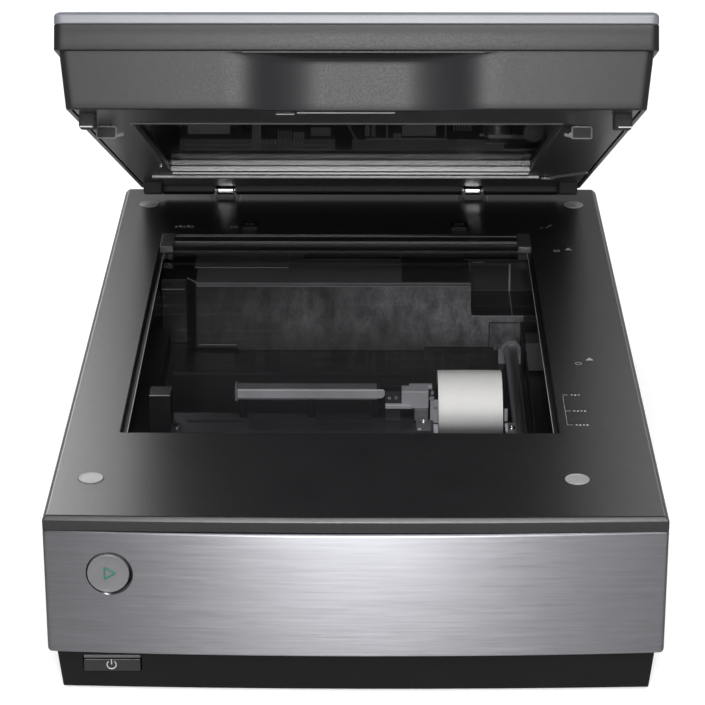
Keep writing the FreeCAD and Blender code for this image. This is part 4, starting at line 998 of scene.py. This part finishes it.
# ---- scan carriage ----
def make_lamp_bar():
    blocks("lamp_body", [(-67.0, 10.6, 187.9, 196.0, 79.3, 86.0), (-68.2, -66.7, 186.6, 196.0, 79.0, 87.0)],
           BASE, "carriage", "lamp_dim", ("lamp_bar",), edge=0.25)
    bm = bmesh.new()
    outline = [(-66.9, 85.0), (-66.9, 80.6), (12.4, 80.6)]
    outline += [(12.4 + 2.6 * math.sin(math.radians(a)), 83.2 - 2.6 * math.cos(math.radians(a)))
                for a in range(10, 91, 10)]
    outline.append((15.0, 85.0))
    front = [bm.verts.new((x, 187.0, z)) for x, z in outline]
    back = [bm.verts.new((x, 188.0, z)) for x, z in outline]
    bm.faces.new(front)
    bm.faces.new(list(reversed(back)))
    join_rings(bm, front, back)
    piece("lamp_front", bm, BASE, "carriage", "lamp_grey", edge=0.15)
    # A pale bar painted as the highlight along the lamp bar's top front edge.
    bars("lamp_front_highlight", [((-66.6, 187.3, 85.5), (14.4, 187.3, 85.5), 0.7, 0.7)],
         BASE, "carriage", "painted_highlight")
    blocks("lamp_posts", [(x, x + 4.0, 189.0, 195.0, 68.0, 79.6) for x in (-66.0, -28.0, 8.0)] +
           [(12.0, 24.2, 189.4, 190.4, 74.0, 87.0)], BASE, "carriage", "dark_inner")


def make_lamp_bracket():
    blocks("bracket_block", [(24.2, 39.2, 186.6, 195.6, 74.6, 85.0), (15.2, 30.0, 184.6, 187.4, 75.2, 77.8),
                             (28.4, 41.4, 195.0, 198.6, 82.6, 85.0)],
           BASE, "carriage", "bracket_grey", ("lamp_bracket",), edge=0.5, segments=3)
    bm = bmesh.new()
    add_prism(bm, [(184.7, 68.0), (195.5, 68.0), (195.5, 75.0), (184.7, 75.0)], 31.4, 39.0, "x")
    piece("bracket_foot", bm, BASE, "carriage", "lamp_dim", edge=0.4)
    knobs = bmesh.new()
    add_rod(knobs, 1.3, (40.9, 186.4, 80.5), (40.9, 189.0, 80.5), 24, 0.2)
    add_rod(knobs, 0.9, (41.2, 186.0, 84.0), (41.2, 189.0, 84.0), 24, 0.2)
    add_rod(knobs, 1.0, (37.9, 186.3, 73.6), (37.9, 187.4, 73.6), 24, 0.2)
    piece("bracket_knobs", knobs, BASE, "carriage", "edge_grey")


def make_carriage_bits():
    """Connector, screw plates and latches on both sides of the ribbon."""
    blocks("connector_body", [(40.2, 44.6, 186.0, 189.0, 66.2, 79.4), (42.2, 44.8, 184.6, 187.0, 76.2, 80.2),
                              (81.6, 83.4, 188.6, 190.4, 66.2, 73.4)], BASE, "carriage", "bracket_grey")
    blocks("screw_plates", [(32.4, 40.4, 170.0, 184.0, 68.2, 69.0), (81.6, 87.4, 168.6, 184.0, 66.0, 67.6)],
           BASE, "carriage", "lamp_dim", edge=0.25)
    # The latch tips are coloured pale as painted highlights on their lit edges.
    blocks("latch_tips", [(41.8, 44.4, 172.0, 181.0, 66.2, 68.0), (81.4, 83.0, 171.0, 179.0, 67.6, 69.2),
                          (33.0, 35.0, 169.8, 171.4, 68.9, 69.8)], BASE, "carriage", "painted_highlight", edge=0.3)
    bm = bmesh.new()
    for x, y, z in ((36.3, 181.0, 69.0), (85.0, 175.6, 67.6)):
        add_lathe(bm, [(0, 0), (2.1, 0), (2.1, 0.7), (1.7, 1.1), (0.9, 1.15), (0.7, 0.7), (0, 0.7)],
                  (x, y, z), (0, 0, 1), 32)
    piece("plate_screws", bm, BASE, "carriage", "screw_steel")
    polished("carriage_slider", 0.3, finish="dark_inner")
    blocks("slider_cap", [(-115.2, -103.4, 177.0, 182.6, 77.6, 86.2)], BASE, "carriage", "lamp_dim", edge=0.6)
    # A pale bar painted as the highlight on the slider cap's top front edge.
    bars("slider_cap_highlight", [((-114.8, 176.9, 86.4), (-103.8, 176.9, 86.4), 0.5, 0.5)],
         BASE, "carriage", "painted_highlight")
    blocks("slider_notches", [(-112.4, -110.6, 176.8, 177.6, 78.6, 80.6),
                              (-107.4, -103.9, 176.8, 177.6, 78.2, 79.4)],
           BASE, "carriage", "dark_inner", edge=0.1)


# ---- under the lid ----
def make_lamp_works():
    """Face of the lid's lamp carriage: rails, combs, posts, rollers and edge dashes; the pale rails, teeth
    and dashes are painted highlights.
    """
    face = 379.5

    def plates(name, spots, finish, depth=1.2, edge=0.15):
        blocks(name, [(x0, x1, face - depth, face + 0.6, z0, z1) for x0, x1, z0, z1 in spots],
               LID, "lid_lamp", finish, edge=edge)

    # A black plate backs the details and stands in, painted black, for the deep shade inside the lid.
    blocks("lamp_painted_shade", [(-110.0, 112.0, 380.2, 381.0, 126.0, 140.0)],
           LID, "lid_lamp", "dark_inner", edge=0.2)
    plates("works_dark", [(-110.0, 111.5, 115.0, 118.7), (-15.2, -4.8, 119.3, 128.6),
                          (3.2, 25.0, 127.3, 136.0), (88.5, 100.0, 119.7, 126.0)], "dark_inner", 0.7)
    plates("works_mid", [(-66.2, -60.7, 119.3, 138.0), (26.0, 46.8, 128.0, 134.8), (16.2, 17.3, 126.7, 139.0),
                         (52.1, 53.1, 127.4, 139.0), (78.1, 89.1, 129.3, 134.8), (-41.0, -34.0, 125.6, 130.0),
                         (-30.0, -18.0, 128.0, 133.0), (60.0, 66.0, 122.0, 126.0)], "works_grey")
    # The rails are coloured pale as painted highlights on their lit edges.
    plates("works_rails", [(-106.7, -66.2, 122.0, 122.6), (-106.7, -66.2, 119.1, 119.7),
                           (-41.0, -15.2, 122.0, 122.6), (-41.0, -15.2, 119.1, 119.7),
                           (3.8, 53.5, 125.6, 126.6), (76.2, 90.3, 123.1, 123.7),
                           (88.5, 110.6, 119.4, 119.9)], "painted_highlight", 1.5, 0.1)
    plates("works_plate", [(-105.6, -79.7, 129.1, 137.0)], "works_pale", 1.0)
    # Comb teeth and the row of dashes along the lamp's lower edge are pale marks painted as highlights.
    teeth = [(-60.4 + 2.6 * step, -59.0 + 2.6 * step, 123.0, 124.8) for step in range(4)]
    teeth += [(-41.0 + 2.4 * step, -39.7 + 2.4 * step, 123.0, 124.8) for step in range(3)]
    teeth += [(-113.6 + 2.9 * step, -112.3 + 2.9 * step, 134.4, 135.3) for step in range(4)]
    teeth += [(-77.2, -67.4, 114.3, 114.8), (-19.0, -18.2, 119.6, 125.0)]
    teeth += [(-65.0 + 2.0 * step, -63.5 + 2.0 * step, 112.1, 112.7) for step in range(60)]
    plates("works_teeth", teeth, "painted_highlight", 1.6, 0)
    plates("works_ribs", [(-50.3 + 1.5 * step, -49.4 + 1.5 * step, 119.3, 131.0) for step in range(6)] +
           [(57.2 + 1.7 * step, 58.2 + 1.7 * step, 131.1, 135.4) for step in range(7)],
           "works_grey", 2.2, 0.2)
    bm = bmesh.new()
    for x in (4.6, 8.4):
        add_rod(bm, 1.6, (x, 378.6, 127.6), (x, 378.6, 137.5), 24, 0.3)
    add_bar(bm, (-7.6, 378.4, 135.3), (-1.1, 378.4, 123.6), 1.0, 2.0, (0, 1, 0))
    add_rod(bm, 1.5, (20.5, 378.8, 128.2), (25.5, 378.8, 128.2), 24, 0.3)
    add_rod(bm, 0.9, (-6.2, 377.9, 133.4), (-6.2, 379.4, 133.4), 20, 0.2)
    piece("works_rollers", bm, LID, "lid_lamp", "works_grey")
    ring = bmesh.new()
    middle = (105.2, 354.0, 127.6)
    profile = [(6.0, 1.0), (6.0, 0.3), (5.7, 0.0), (4.9, 0.0), (4.7, 0.7), (3.9, 0.7), (3.7, 0.1), (2.9, 0.1),
               (2.7, 0.8), (1.5, 0.8), (1.3, 0.1), (0, 0.1)]
    add_lathe(ring, [(0, 1.0)] + profile, middle, (0, 1, 0), 48)
    piece("works_ring", ring, LID, "lid_lamp", "works_pale")


def make_underside_details():
    """Edge strips and glints painted as highlights, latches and cable clip on the lid's underside."""
    z = 104.9
    # Light strips painted as highlights along edges of the window frame.
    bars("underside_strips", [
        ((-128.7, 396.2, 103.5), (111.3, 396.2, 103.5), 0.6, 0.4),
        ((-128.7, 408.0, z), (111.3, 408.0, z), 0.6, 0.6),
    ], LID, "lid", "edge_grey")
    # Pale bars painted as glints on the lid's lower front edge and under the two pads.
    bars("underside_glints", [
        ((-29.4, 52.8, z), (19.1, 52.8, z), 0.8, 0.5),
        ((-40.0, 59.5, z), (-31.0, 59.5, z), 0.6, 0.4),
        ((-137.6, 54.2, 98.1), (-131.0, 54.2, 98.1), 0.6, 0.6),
        ((130.0, 54.2, 98.1), (136.6, 54.2, 98.1), 0.6, 0.6),
    ], LID, "lid", "painted_highlight")
    latch = []
    for x, side in ((-129.5, -1), (116.0, 1)):
        latch += [((x - 5.0, 110.0, 104.2), (x + 5.0, 110.0, 104.2), 0.7, 0.7),
                  ((x - 5.0, 110.0, 98.3), (x + 5.0, 110.0, 98.3), 0.7, 0.7),
                  ((x + 5.0, 110.0, 98.3), (x + 5.0, 110.0, 104.2), 0.7, 0.7),
                  ((x - 5.0, 110.0, 98.3), (x - 5.0, 110.0, 104.2), 0.7, 0.7),
                  ((x - 5.0 * side, 110.0, 99.2), (x - 9.0 * side, 110.0, 100.4), 0.8, 1.6)]
    blocks("hook_faces", [(-134.2, -124.8, 110.2, 111.4, 98.5, 104.0),
                          (111.3, 120.7, 110.2, 111.4, 98.5, 104.0)],
           LID, "lid", "dark_inner", edge=0.1)
    bars("latch_frames", latch, LID, "lid", "lamp_dim")
    bars("cable_clip", [((118.0, 392.0, 103.6), (137.6, 358.0, 103.6), 2.0, 1.4),
                        ((112.5, 400.5, 103.8), (120.5, 400.5, 103.8), 1.6, 1.0)], LID, "lid", "edge_grey")
    bm = bmesh.new()
    for x, y in ((115.0, 404.0), (118.6, 404.0), (-127.0, 404.0), (-123.0, 404.0), (-118.0, 330.0)):
        add_rod(bm, 1.1, (x, y, 103.9), (x, y, 105.3), 20, 0.3)
    piece("underside_screws", bm, LID, "lid", "screw_steel")


EXTRA = {
    "mark_green": (moulded((0.008, 0.14, 0.10), 0.4), "button_silver"),
    "mark_white": (moulded((0.42, 0.42, 0.42), 0.5), "deck_plastic"),
    "shelf_satin": (moulded((0.17, 0.17, 0.176), 0.42), "inner_black"),
    "shelf_dark": (moulded((0.06, 0.06, 0.062), 0.42), "inner_black"),
    # A pale copy of the inner black plastic, painted as lit edges.
    "painted_edge_highlight": (moulded((0.33, 0.33, 0.34), 0.4), "inner_black"),
    "works_grey": (moulded((0.34, 0.34, 0.35), 0.4), "lamp_grey"),
    "bar_satin": (moulded((0.05, 0.05, 0.052), 0.4), "inner_black"),
    "underside_satin": (moulded((0.03, 0.03, 0.031), 0.32, gloss=1.0), "inner_black"),
    "dark_inner": (moulded((0.006, 0.006, 0.007), 0.5, gloss=0.3), "inner_black"),
    "cover_mottled": (mottled((0.02, 0.02, 0.021), (0.5, 0.5, 0.515), 0.42), "inner_black"),
    "edge_grey": (moulded((0.17, 0.17, 0.175), 0.4), "inner_black"),
    # A pale copy of the lamp grey, painted as highlights on lit edges.
    "painted_highlight": (moulded((0.42, 0.42, 0.44), 0.35), "lamp_grey"),
    "line_pale": (moulded((0.34, 0.34, 0.33), 0.45), "gasket_pale"),
    "lamp_dim": (moulded((0.095, 0.095, 0.1), 0.4), "lamp_grey"),
    "works_pale": (moulded((0.5, 0.5, 0.51), 0.45), "lamp_grey"),
}

for finish_name, finish_material in FINISH.items():
    finish_material.name = finish_name
for finish_name, (finish_material, _) in EXTRA.items():
    finish_material.name = finish_name

POLISH = {
    "deck_cover": 0.5, "lower_case": 0.6, "rear_panel": 0.25,
    "holder_sockets": 0.2, "status_light": 0.25, "lid_underside": 0.3, "lid_pads": 0.5, "hinge_posts": 0.3,
}

make_camera()
make_studio()
dress_cad()
for node, width in POLISH.items():
    polished(node, width, finish={"lid_underside": "underside_satin", "hinge_posts": "shelf_dark"}.get(node))
make_lid_shell()
make_lid_cap()
make_front_panel()
make_start_key()
make_power_key()
make_hinge_barrels()
make_ribbon()
make_gasket()
make_rear_bar()
make_caps()
make_deck_marks()
make_cover_details()
make_shaft_end()
make_lamp_bar()
make_lamp_bracket()
make_carriage_bits()
make_lamp_works()
make_underside_details()
